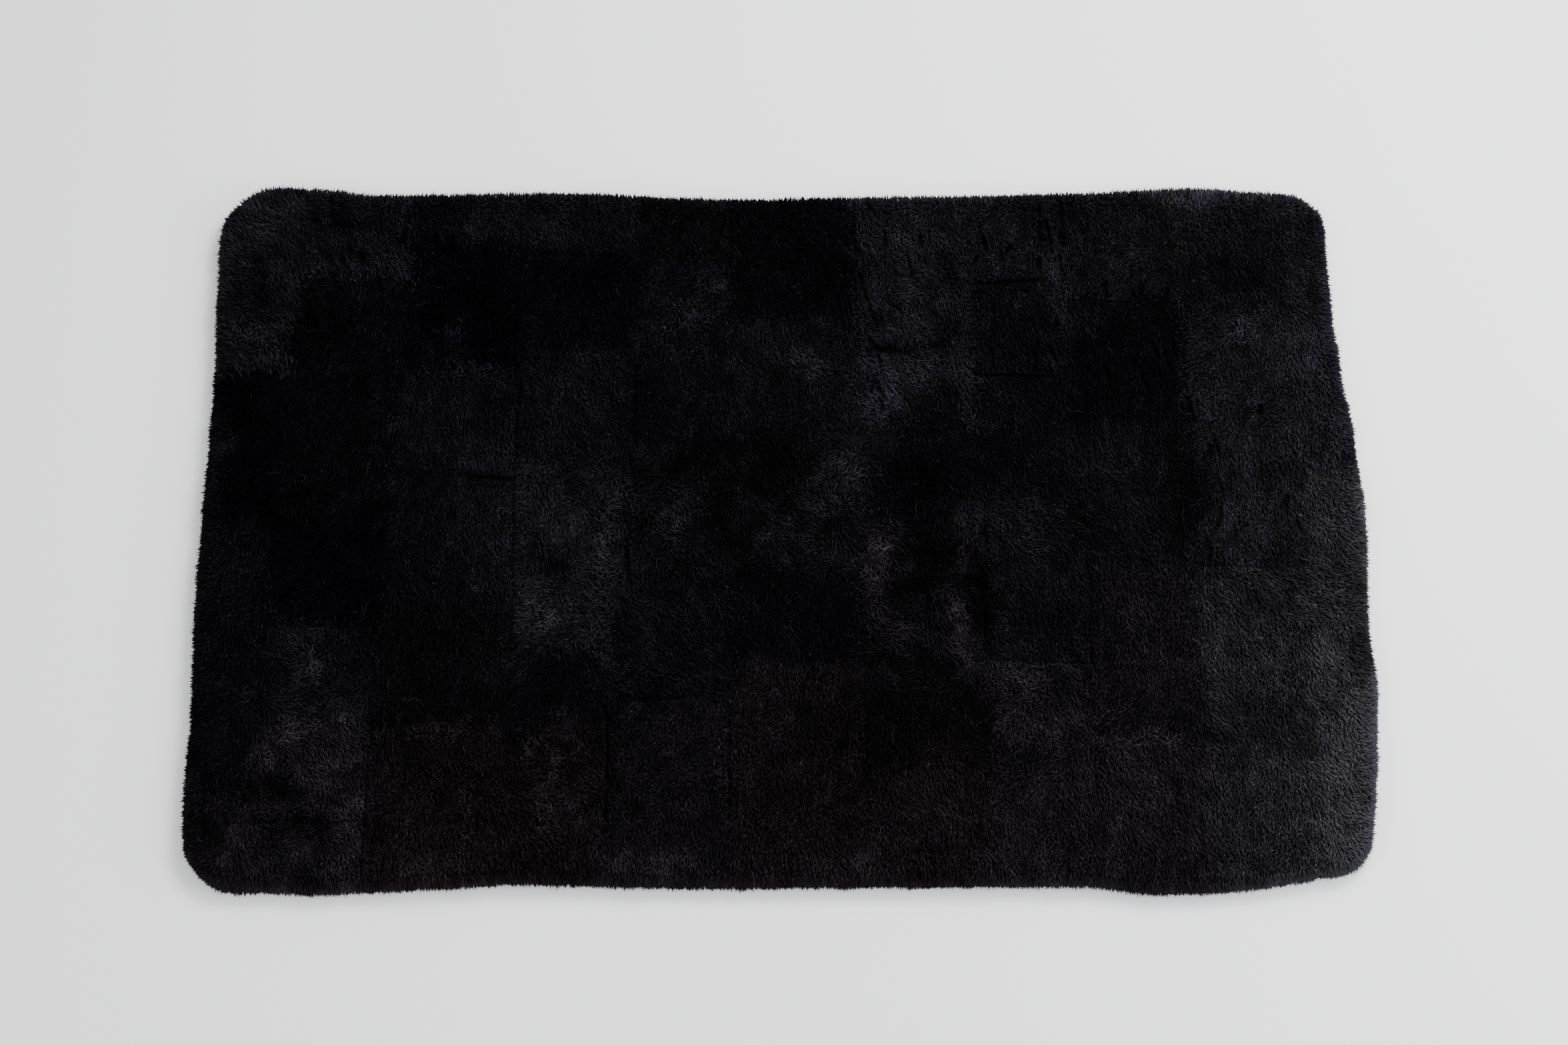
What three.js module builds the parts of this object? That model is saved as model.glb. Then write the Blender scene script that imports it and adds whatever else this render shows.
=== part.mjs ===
// Lambskin dog blanket, lying flat with its wool side up.
// Black dyed lambskin patches are sewn hide to hide in upright strips, and cut to a rounded rectangle.
// Two solids: the thin hide, and the wool on it, a lumpy slab with seam furrows and locks round its rim.
// Millimetres. X runs along the long side, Y towards the back edge, Z up, and the hide rests at z = 0.
import * as THREE from 'three';

// Driving dimensions
const WIDTH = 1200;
const DEPTH = 800;
const CORNER_RADIUS = 55;
const HIDE_THICKNESS = 2;
const PILE_HEIGHT = 22;
const PIECE_GAP = 0.3;

// The rim: the wool stands past the cut edge of the hide, rolls over, and ends in locks
const HIDE_INSET = 8;
const FLEECE_FLOOR_INSET = HIDE_INSET - PIECE_GAP;
const LOCK_COUNT = 280;
const LOCK_FOOT = { inset: 5, height: 0.5 };
const LOCK_CROWN_INSET = 3;
const LOCK_TIP = { leastReach: -1, moreReach: 4, leastHeight: 3, moreHeight: 6, sway: 3 };
const SPREAD_STEP = { sway: 0.7549, reach: 0.618, height: 0.5698 };
const SHOULDER_INSET = 12;
const ROLL_OVER = 20;

// The top face is drawn on a grid whose columns follow the strip seams
const GRID_INSET = 40;
const GRID_ROW_PITCH = 12;
const GRID_COLUMN_PITCH = 30;

// Furrows where two skins meet, and the lumps of the wool between them
const STRIP_FURROW = { depth: 4, halfWidth: 8 };
const CROSS_FURROW = { depth: 3, halfWidth: 9 };
const SEAM_SWAY = { side: 3, wave: 260, shiftPerX: 3 };
const LUMPS = [
  { rise: 0.9, wave: 330, heading: 25, phase: 1.2 },
  { rise: 0.7, wave: 190, heading: 115, phase: 4.0 },
  { rise: 0.5, wave: 95, heading: 60, phase: 2.5 },
  { rise: 0.4, wave: 58, heading: 160, phase: 0.4 },
];

// How far the real edge lies outside (+) or inside (-) the plain rounded rectangle.
// at is x on the front and back sides and y on the left and right sides.
const SIDES = [
  {
    name: 'front', length: WIDTH - 2 * CORNER_RADIUS, along: [1, 0], facing: [0, -1],
    wander: [
      { at: -505, out: 4 }, { at: -465, out: 6 }, { at: -425, out: 3 }, { at: -345, out: -1 },
      { at: -265, out: -5 }, { at: -104, out: -1 }, { at: 297, out: -3 }, { at: 377, out: 4 },
      { at: 417, out: 3 }, { at: 498, out: -3 }, { at: 545, out: -9 },
    ],
  },
  {
    name: 'right', length: DEPTH - 2 * CORNER_RADIUS, along: [0, 1], facing: [1, 0],
    wander: [
      { at: -345, out: -3 }, { at: -259, out: 4 }, { at: -185, out: 8 }, { at: -126, out: 4 },
      { at: 11, out: 9 }, { at: 104, out: 3 }, { at: 183, out: -6 }, { at: 248, out: -11 },
      { at: 345, out: -13 },
    ],
  },
  {
    name: 'back', length: WIDTH - 2 * CORNER_RADIUS, along: [-1, 0], facing: [0, 1],
    wander: [
      { at: 545, out: 0 }, { at: 441, out: 6 }, { at: 309, out: -1 }, { at: 163, out: -5 },
      { at: -66, out: -8 }, { at: -252, out: 0 }, { at: -376, out: -2 }, { at: -449, out: -3 },
      { at: -510, out: 5 }, { at: -545, out: 7 },
    ],
  },
  {
    name: 'left', length: DEPTH - 2 * CORNER_RADIUS, along: [0, -1], facing: [-1, 0],
    wander: [
      { at: 345, out: 12 }, { at: 248, out: 10 }, { at: 200, out: 7 }, { at: -81, out: 10 },
      { at: -215, out: 6 }, { at: -303, out: 7 }, { at: -345, out: 5 },
    ],
  },
];

// Strips from left to right: where each one's right-hand seam starts and ends, and its cross seams
const STRIPS = [
  { seamAtBack: -518, seamAtFront: -545, crossSeams: [176, 5, -140, -299] },
  { seamAtBack: -402, seamAtFront: -425, crossSeams: [190, 5, -114, -225, -332] },
  { seamAtBack: -288, seamAtFront: -278, crossSeams: [340, 186, 57, -85, -225] },
  { seamAtBack: -155, seamAtFront: -181, crossSeams: [325, 206, 70, -150, -225] },
  { seamAtBack: -56, seamAtFront: -56, crossSeams: [310, 186, 95, -68, -197] },
  { seamAtBack: 74, seamAtFront: 86, crossSeams: [310, 245, 110, 35, -50, -157] },
  { seamAtBack: 198, seamAtFront: 214, crossSeams: [205, 120, -5, -157, -195] },
  { seamAtBack: 300, seamAtFront: 317, crossSeams: [288, 176, 35, -157, -290] },
  { seamAtBack: 432, seamAtFront: 430, crossSeams: [269, 120, -45, -154, -240] },
  { seamAtBack: 541, seamAtFront: 541, crossSeams: [250, 100, -48, -245] },
  { seamAtBack: null, seamAtFront: null, crossSeams: [230, 60, -130] },
];

const ARC_LENGTH = CORNER_RADIUS * Math.PI / 2;
const PERIMETER = 4 * ARC_LENGTH + SIDES.reduce((sum, side) => sum + side.length, 0);
const PILE_FLOOR = HIDE_THICKNESS + PIECE_GAP;
const PILE_TOP = PILE_FLOOR + PILE_HEIGHT;
const GRID_HALF_X = WIDTH / 2 - GRID_INSET;
const GRID_HALF_Y = DEPTH / 2 - GRID_INSET;

// Even spread of values from 0 to 1 that never repeats, so that neighbouring locks differ
function spread(index, step) {
  const value = (index + 1) * step;
  return value - Math.floor(value);
}

function smooth(share) {
  return share * share * (3 - 2 * share);
}

// Edge wander at a place on one side, eased from one row of its table to the next
function wanderOn(side, at) {
  const rows = [...side.wander].sort((a, b) => a.at - b.at);
  if (at <= rows[0].at) return rows[0].out;
  for (let i = 1; i < rows.length; i += 1) {
    const low = rows[i - 1];
    const high = rows[i];
    if (at <= high.at) {
      return THREE.MathUtils.lerp(low.out, high.out, smooth((at - low.at) / (high.at - low.at)));
    }
  }
  return rows[rows.length - 1].out;
}

// Point on the blanket's outline, drawn in by inset, at a distance round from the front left corner
function rimPoint(distance, inset) {
  let left = ((distance % PERIMETER) + PERIMETER) % PERIMETER;
  for (let i = 0; i < SIDES.length; i += 1) {
    const side = SIDES[i];
    const next = SIDES[(i + 1) % SIDES.length];
    const [ux, uy] = side.along;
    const [fx, fy] = side.facing;
    const middleX = fx * (WIDTH / 2 - CORNER_RADIUS);
    const middleY = fy * (DEPTH / 2 - CORNER_RADIUS);
    if (left <= side.length) {
      const run = left - side.length / 2;
      const x = middleX + ux * run;
      const y = middleY + uy * run;
      const stand = CORNER_RADIUS + wanderOn(side, ux === 0 ? y : x) - inset;
      return [x + fx * stand, y + fy * stand];
    }
    left -= side.length;
    if (left <= ARC_LENGTH) {
      const share = left / ARC_LENGTH;
      const turn = share * Math.PI / 2;
      const centreX = middleX + ux * side.length / 2;
      const centreY = middleY + uy * side.length / 2;
      const endWander = wanderOn(side, ux === 0 ? centreY : centreX);
      const startWander = wanderOn(next, ux === 0 ? centreX : centreY);
      const stand = CORNER_RADIUS + THREE.MathUtils.lerp(endWander, startWander, share) - inset;
      const outX = fx * Math.cos(turn) + ux * Math.sin(turn);
      const outY = fy * Math.cos(turn) + uy * Math.sin(turn);
      return [centreX + outX * stand, centreY + outY * stand];
    }
    left -= ARC_LENGTH;
  }
  return rimPoint(0, inset);
}

// Where a strip's right-hand seam runs at a given y
function seamX(strip, y) {
  const share = (DEPTH / 2 - y) / DEPTH;
  const shifted = y + SEAM_SWAY.shiftPerX * strip.seamAtBack;
  const sway = SEAM_SWAY.side * Math.sin(2 * Math.PI * shifted / SEAM_SWAY.wave);
  return THREE.MathUtils.lerp(strip.seamAtBack, strip.seamAtFront, share) + sway;
}

const STRIP_SEAMS = STRIPS.filter((strip) => strip.seamAtBack !== null);

function furrow(distance, form) {
  return form.depth * Math.exp(-((distance / form.halfWidth) ** 2));
}

// Height of the wool over the floor, away from the rim
function pileTop(x, y) {
  let height = PILE_TOP;
  for (const lump of LUMPS) {
    const heading = THREE.MathUtils.degToRad(lump.heading);
    const run = x * Math.cos(heading) + y * Math.sin(heading);
    height += lump.rise * Math.sin(2 * Math.PI * run / lump.wave + lump.phase);
  }
  let stripIndex = 0;
  for (const strip of STRIP_SEAMS) {
    const seam = seamX(strip, y);
    height -= furrow(x - seam, STRIP_FURROW);
    if (x > seam) stripIndex += 1;
  }
  for (const seamY of STRIPS[stripIndex].crossSeams) {
    height -= furrow(y - seamY, CROSS_FURROW);
  }
  return height;
}

// The wool rolls over towards its rim as a quarter round
function rolledTop(x, y, inset) {
  const share = Math.max(0, 1 - inset / ROLL_OVER);
  const drop = PILE_HEIGHT * (1 - Math.sqrt(1 - share * share));
  return pileTop(x, y) - drop;
}

// A closed body that is built point by point and face by face
function newBody() {
  const positions = [];
  const faces = [];
  return {
    point(x, y, z) {
      positions.push(x, y, z);
      return positions.length / 3 - 1;
    },
    face(a, b, c) {
      faces.push(a, b, c);
    },
    quad(a, b, c, d) {
      faces.push(a, b, c, a, c, d);
    },
    geometry() {
      const shape = new THREE.BufferGeometry();
      shape.setAttribute('position', new THREE.Float32BufferAttribute(positions, 3));
      shape.setIndex(faces);
      shape.computeVertexNormals();
      return shape;
    },
  };
}

// A ring of points round the rim, anticlockwise from above
function rimRing(body, inset, heightAt) {
  const ring = [];
  for (let i = 0; i < LOCK_COUNT; i += 1) {
    const distance = PERIMETER * i / LOCK_COUNT;
    const [x, y] = rimPoint(distance, inset);
    ring.push({ index: body.point(x, y, heightAt(x, y)), distance, x, y });
  }
  return ring;
}

// Faces that look up, or outwards, between a ring and the ring inside or over it
function joinRings(body, outer, inner) {
  outer.forEach((from, i) => {
    const next = (i + 1) % outer.length;
    body.quad(from.index, outer[next].index, inner[next].index, inner[i].index);
  });
}

// The same between two rings with unlike numbers of points, matched by their distance round the rim
function zipRings(body, outer, inner) {
  let i = 0;
  let j = 0;
  const distanceOf = (ring, k) => ring[k % ring.length].distance + (k >= ring.length ? PERIMETER : 0);
  while (i < outer.length || j < inner.length) {
    const outerNext = i < outer.length ? distanceOf(outer, i + 1) : Infinity;
    const innerNext = j < inner.length ? distanceOf(inner, j + 1) : Infinity;
    const a = outer[i % outer.length].index;
    const b = inner[j % inner.length].index;
    if (outerNext <= innerNext) {
      body.face(a, outer[(i + 1) % outer.length].index, b);
      i += 1;
    } else {
      body.face(a, inner[(j + 1) % inner.length].index, b);
      j += 1;
    }
  }
}

// A flat face inside a ring, looking up or down
function capRing(body, ring, looksUp) {
  const outline = ring.map(({ x, y }) => new THREE.Vector2(x, y));
  for (const [a, b, c] of THREE.ShapeUtils.triangulateShape(outline, [])) {
    if (looksUp) body.face(ring[a].index, ring[b].index, ring[c].index);
    else body.face(ring[a].index, ring[c].index, ring[b].index);
  }
}

// One four-sided lock between each pair of rim points, its tip out past the edge and hanging down
function addLocks(body, foot, crown) {
  foot.forEach((from, i) => {
    const next = (i + 1) % foot.length;
    const sway = LOCK_TIP.sway * (2 * spread(i, SPREAD_STEP.sway) - 1);
    const reach = LOCK_TIP.leastReach + LOCK_TIP.moreReach * spread(i, SPREAD_STEP.reach);
    const height = LOCK_TIP.leastHeight + LOCK_TIP.moreHeight * spread(i, SPREAD_STEP.height);
    const halfPitch = PERIMETER / LOCK_COUNT / 2;
    const [x, y] = rimPoint(from.distance + halfPitch + sway, -reach);
    const tip = body.point(x, y, height);
    body.face(from.index, foot[next].index, tip);
    body.face(foot[next].index, crown[next].index, tip);
    body.face(crown[next].index, crown[i].index, tip);
    body.face(crown[i].index, from.index, tip);
  });
}

// Grid columns at one y: each strip seam, its two shoulders, and even columns in between
function columnsAt(y) {
  const { halfWidth } = STRIP_FURROW;
  const seams = STRIP_SEAMS.map((strip) => seamX(strip, y));
  const stops = [-GRID_HALF_X, ...seams, GRID_HALF_X];
  const middles = [-GRID_HALF_X, ...STRIP_SEAMS.map((strip) => strip.seamAtBack), GRID_HALF_X];
  const columns = [];
  for (let k = 0; k + 1 < stops.length; k += 1) {
    const from = stops[k] + (k === 0 ? 0 : halfWidth);
    const to = stops[k + 1] - (k + 2 === stops.length ? 0 : halfWidth);
    const count = Math.max(1, Math.round((middles[k + 1] - middles[k] - 2 * halfWidth) / GRID_COLUMN_PITCH));
    if (k > 0) columns.push(stops[k]);
    for (let c = 0; c <= count; c += 1) columns.push(THREE.MathUtils.lerp(from, to, c / count));
  }
  return columns;
}

// The top face's grid, and its edge as a ring matched to the rim
function addTopGrid(body) {
  const rowCount = Math.round(2 * GRID_HALF_Y / GRID_ROW_PITCH);
  const rows = [];
  for (let r = 0; r <= rowCount; r += 1) {
    const y = THREE.MathUtils.lerp(-GRID_HALF_Y, GRID_HALF_Y, r / rowCount);
    rows.push(columnsAt(y).map((x) => ({ index: body.point(x, y, pileTop(x, y)), x, y })));
  }
  for (let r = 0; r < rowCount; r += 1) {
    for (let c = 0; c + 1 < rows[r].length; c += 1) {
      body.quad(rows[r][c].index, rows[r][c + 1].index, rows[r + 1][c + 1].index, rows[r + 1][c].index);
    }
  }
  const last = rows[0].length - 1;
  const [front, right, back, left] = SIDES;
  const cornerStart = (sides) => sides.reduce((sum, side) => sum + side.length + ARC_LENGTH, 0);
  const onSide = (point, along, side, start) => ({ ...point, distance: start + side.length / 2 + along });
  const corner = (point, start) => ({ ...point, distance: start - ARC_LENGTH / 2 });
  const afterFront = cornerStart([front]);
  const afterRight = cornerStart([front, right]);
  const afterBack = cornerStart([front, right, back]);
  const ring = [
    corner(rows[0][0], PERIMETER),
    ...rows[0].slice(1, last).map((point) => onSide(point, point.x, front, 0)),
    corner(rows[0][last], afterFront),
    ...rows.slice(1, rowCount).map((row) => onSide(row[last], row[last].y, right, afterFront)),
    corner(rows[rowCount][last], afterRight),
    ...rows[rowCount].slice(1, last).reverse().map((point) => onSide(point, -point.x, back, afterRight)),
    corner(rows[rowCount][0], afterBack),
    ...rows.slice(1, rowCount).reverse().map((row) => onSide(row[0], -row[0].y, left, afterBack)),
  ];
  ring.forEach((point) => {
    point.distance = ((point.distance % PERIMETER) + PERIMETER) % PERIMETER;
  });
  return ring.sort((a, b) => a.distance - b.distance);
}

// The sewn skins: a thin flat sheet
function makeHide() {
  const body = newBody();
  const under = rimRing(body, HIDE_INSET, () => 0);
  const upper = rimRing(body, HIDE_INSET, () => HIDE_THICKNESS);
  capRing(body, under, false);
  joinRings(body, under, upper);
  capRing(body, upper, true);
  return body.geometry();
}

// The wool: flat over the hide, down to the floor round it, locks at the rim and a lumpy furrowed top
function makeFleece() {
  const body = newBody();
  const under = rimRing(body, FLEECE_FLOOR_INSET, () => PILE_FLOOR);
  const foot = rimRing(body, LOCK_FOOT.inset, () => LOCK_FOOT.height);
  const crown = rimRing(body, LOCK_CROWN_INSET, (x, y) => rolledTop(x, y, LOCK_CROWN_INSET));
  const shoulder = rimRing(body, SHOULDER_INSET, (x, y) => rolledTop(x, y, SHOULDER_INSET));
  capRing(body, under, false);
  joinRings(body, under, foot);
  addLocks(body, foot, crown);
  joinRings(body, crown, shoulder);
  zipRings(body, shoulder, addTopGrid(body));
  return body.geometry();
}

const suede = new THREE.MeshStandardMaterial({ color: 0x2b2a2d, roughness: 0.95, metalness: 0 });
const dyedWool = new THREE.MeshStandardMaterial({ color: 0x141317, roughness: 0.9, metalness: 0 });

const hide = new THREE.Mesh(makeHide(), suede);
hide.name = 'hide';
const fleece = new THREE.Mesh(makeFleece(), dyedWool);
fleece.name = 'fleece';

// The origin is under the middle of the blanket's own box
const blanket = new THREE.Group();
blanket.add(hide, fleece);
const middle = new THREE.Box3().setFromObject(blanket).getCenter(new THREE.Vector3());
blanket.position.set(-middle.x, -middle.y, 0);

export default blanket;
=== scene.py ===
import math

import bmesh
import bpy
import numpy as np
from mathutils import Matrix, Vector


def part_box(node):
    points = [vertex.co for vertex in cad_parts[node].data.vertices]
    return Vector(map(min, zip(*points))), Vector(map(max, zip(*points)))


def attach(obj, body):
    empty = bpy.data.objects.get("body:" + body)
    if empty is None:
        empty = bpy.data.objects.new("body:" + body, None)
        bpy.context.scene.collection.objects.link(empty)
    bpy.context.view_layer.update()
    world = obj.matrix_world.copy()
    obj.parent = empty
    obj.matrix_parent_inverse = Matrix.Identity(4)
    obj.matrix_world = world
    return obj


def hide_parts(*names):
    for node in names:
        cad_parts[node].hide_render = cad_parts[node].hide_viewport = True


# A black dyed lambskin dog blanket: 64 wool-on skins sewn in eleven upright strips, lying wool side up.
# Tables and shapes are worked out in millimetres and become metres when a mesh is made.

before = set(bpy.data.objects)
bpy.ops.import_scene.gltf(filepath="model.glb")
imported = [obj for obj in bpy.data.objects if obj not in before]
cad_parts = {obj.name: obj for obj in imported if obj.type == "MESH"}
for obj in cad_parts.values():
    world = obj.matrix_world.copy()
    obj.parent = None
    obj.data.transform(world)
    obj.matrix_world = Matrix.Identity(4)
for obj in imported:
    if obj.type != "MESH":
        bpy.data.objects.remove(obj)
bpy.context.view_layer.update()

MM = 0.001

# These keep a division and a logarithm from meeting zero
TINY = 1e-9
LEAST_LIGHT = 1e-4

# Driving sizes, the same as the solids have
WIDTH = 1200.0
DEPTH = 800.0
CORNER_RADIUS = 55.0
HIDE_THICKNESS = 2.0
HIDE_INSET = 8.0
PILE_TOP = 24.3

# Half of each straight side between the plain blanket's round corners, and in how many places the real
# sides are read to find how far they reach
RIM_STRAIGHT_X = WIDTH / 2 - CORNER_RADIUS
RIM_STRAIGHT_Y = DEPTH / 2 - CORNER_RADIUS
SIDE_SAMPLES_X = 600
SIDE_SAMPLES_Y = 400

# The wool's dense lower part is one body, and the tips of its locks stand out of it. Its top rolls over at
# the rim and goes down to just above the hide, and its foot is drawn in a little. Its grid is the closer at
# the rim the less even it is, and the edge's wander has faded out this far from the rim.
TIP_STAND = 3.6
BED_TOP = PILE_TOP - TIP_STAND
BED_INSET = 2.0
BED_SUNK = 0.8
BED_GAP = 0.4
BED_FLOOR = HIDE_THICKNESS + BED_GAP
BED_FOOT_INSET = 3.0
BED_COLUMNS = 182
BED_ROWS = 124
BED_EVENNESS = 0.35
ROLL_RADIUS = 10.0
WALL_CLEARANCE = 0.3
WALL_DROP = BED_TOP - ROLL_RADIUS - BED_FLOOR - WALL_CLEARANCE
WANDER_FADE = 90.0

# How far the flat, unrolled wool goes past the plain rim
UNROLLED = WALL_DROP + ROLL_RADIUS * (math.pi / 2 - 1) - BED_INSET

# Clipped wool locks, each drawn coarser than a real one so that there are few enough: how closely they
# stand, with twice as many near the rim, their sizes in millimetres, and the shares by which their lengths
# and widths vary
LOCK_SPACING = 2.22
SOWN_TWICE = 8.0
LOCK_LENGTH = 9.6
LOCK_LENGTHS = (5.0, 12.5)
LENGTH_VARIES = 0.10
SHORTER_AT_RIM = 0.25
LOCK_WIDTH = 1.55
WIDTH_VARIES = 0.22
WIDTH_SHARES = (0.45, 1.6)
LOCK_BURIED = 2.0
LOWEST_TIP = 0.4
LOWEST_TIP_VARIES = 0.4

# How far the locks lean from upright, in degrees. Where the nap has no way, they keep this share of it.
LEAN = 57.0
LEAN_AT_RIM = 47.0
LEAN_VARIES = 6.0
LEAST_LEAN_SHARE = 0.3

# A lock bends at its belly, this share of the way up. Below the bend it leans less than its mean lean, and
# above the bend more, each by so many radians and between two limits. It is twisted round its own way by a
# share, and its tip strays sideways by millimetres.
LOCK_BELLY = 0.42
BEND_BELOW, LEAN_BELOW = 0.36, (0.05, 1.2)
BEND_ABOVE, LEAN_ABOVE = 0.24, (0.2, 1.42)
LOCK_TWIST = 0.3
TIP_STRAYS = 0.7

# The nap's way is an arrow about 1 long. It varies by this share, turns outwards near the rim and hangs down
# once it is far enough round the roll.
NAP_VARIES = 0.24
TURNED_OUT = 0.8
HANG_VARIES = 0.3
FULLY_HUNG = math.pi / 3

# It turns away from an opening by this share, if the opening is deep enough in millimetres, and so far past
# the opening's ends
TURNED_AWAY = 0.58
FULL_OPENING = 4.0
OPENING_REACH = 9.0

# Distances between which something fades out: inside the rim, the outward nap, the calm of the lumps and the
# rim's painted sheen, and from an opening, the nap's turn
OUTWARD_NAP = (4, 30)
RIM_CALM = (-4, 22)
PAINTED_RIM_SHEEN_SPAN = (-2, 12)
BESIDE_OPENING = (0.8, 5.8)

# How far the real edge lies outside or inside the plain rounded rectangle: (place along the side, outwards)
EDGE_WANDER = {
    "front": [(-505, 4), (-465, 6), (-425, 3), (-345, -1), (-265, -5), (-104, -1), (297, -3),
              (377, 5), (435, 4), (480, -1), (517, -7), (545, -13)],
    "right": [(-345, -7), (-300, -1), (-255, 4), (-185, 8), (-126, 4), (11, 9), (104, 3),
              (183, -6), (248, -11), (345, -13)],
    "back": [(-545, 7), (-510, 5), (-449, -3), (-376, -2), (-252, 0), (-66, -8), (163, -5), (309, -1),
             (441, 6), (545, 0)],
    "left": [(-345, 5), (-303, 7), (-215, 6), (-81, 10), (200, 7), (248, 10), (345, 12)],
}

# The skins fall into seven shades, each half as light again as the one before. A skin's shade is how deep it
# took the dye together with the painted sheen or shade of its nap, and the palest skins of the last two
# strips also hold a painted haze of light.
SHADES = ["jet", "deep", "dark", "plain", "light", "pale", "ash"]
SHADE_RATIO = 1.5

# Strips from left to right. A strip's right-hand seam runs from back to front, and its skins are listed
# from the back edge: (y where the skin ends, shade, dye, heading of the nap in degrees). Shade and dye are
# judged skin by skin. The last strip has no seam at its right.
STRIPS = [
    {"seam": (-518, -545), "skins": [
        (176, "light", "violet", 140), (5, "jet", "blue", 262), (-140, "dark", "violet", 255),
        (-299, "dark", "black", 262), (-400, "plain", "plum", 262)]},
    {"seam": (-402, -425), "skins": [
        (302, "light", "violet", 285), (190, "deep", "black", 262), (5, "deep", "black", 265),
        (-114, "jet", "blue", 262), (-225, "plain", "black", 285), (-400, "light", "plum", 300)]},
    {"seam": (-288, -278), "skins": [
        (340, "plain", "black", 275), (186, "jet", "blue", 255), (57, "plain", "violet", 275),
        (-85, "plain", "black", 262), (-225, "dark", "green", 280), (-400, "plain", "brown", 268)]},
    {"seam": (-155, -181), "skins": [
        (325, "plain", "violet", 285), (206, "deep", "blue", 262), (70, "plain", "violet", 290),
        (-150, "light", "green", 245), (-225, "dark", "black", 265), (-400, "plain", "brown", 275)]},
    {"seam": (-56, -56), "skins": [
        (310, "dark", "green", 275), (186, "plain", "violet", 240), (95, "dark", "black", 260),
        (-68, "plain", "green", 250), (-197, "dark", "black", 325), (-400, "plain", "plum", 255)]},
    {"seam": (74, 86), "skins": [
        (310, "deep", "black", 268), (245, "deep", "black", 272), (110, "plain", "green", 262),
        (35, "plain", "green", 275), (-50, "plain", "green", 250), (-157, "deep", "black", 275),
        (-400, "plain", "brown", 262)]},
    {"seam": (198, 214), "skins": [
        (205, "light", "violet", 285), (120, "pale", "violet", 315), (-5, "plain", "black", 262),
        (-157, "plain", "plum", 245), (-195, "dark", "plum", 280), (-275, "deep", "brown", 268),
        (-400, "plain", "brown", 272)]},
    {"seam": (300, 317), "skins": [
        (288, "plain", "violet", 255), (176, "dark", "violet", 280), (35, "dark", "violet", 265),
        (-157, "plain", "green", 290), (-290, "light", "plum", 245), (-400, "light", "plum", 275)]},
    {"seam": (432, 430), "skins": [
        (269, "plain", "green", 250), (120, "deep", "black", 268), (-45, "dark", "green", 285),
        (-154, "plain", "plum", 258), (-240, "plain", "plum", 240), (-400, "light", "plum", 272)]},
    {"seam": (541, 541), "skins": [
        (250, "plain", "violet", 270), (100, "light", "violet", 248), (-48, "light", "violet", 262),
        (-245, "pale", "green", 280), (-400, "pale", "green", 265)]},
    {"seam": None, "skins": [
        (230, "light", "violet", 300), (60, "pale", "violet", 285), (-130, "ash", "green", 300),
        (-400, "ash", "green", 290)]},
]
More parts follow.
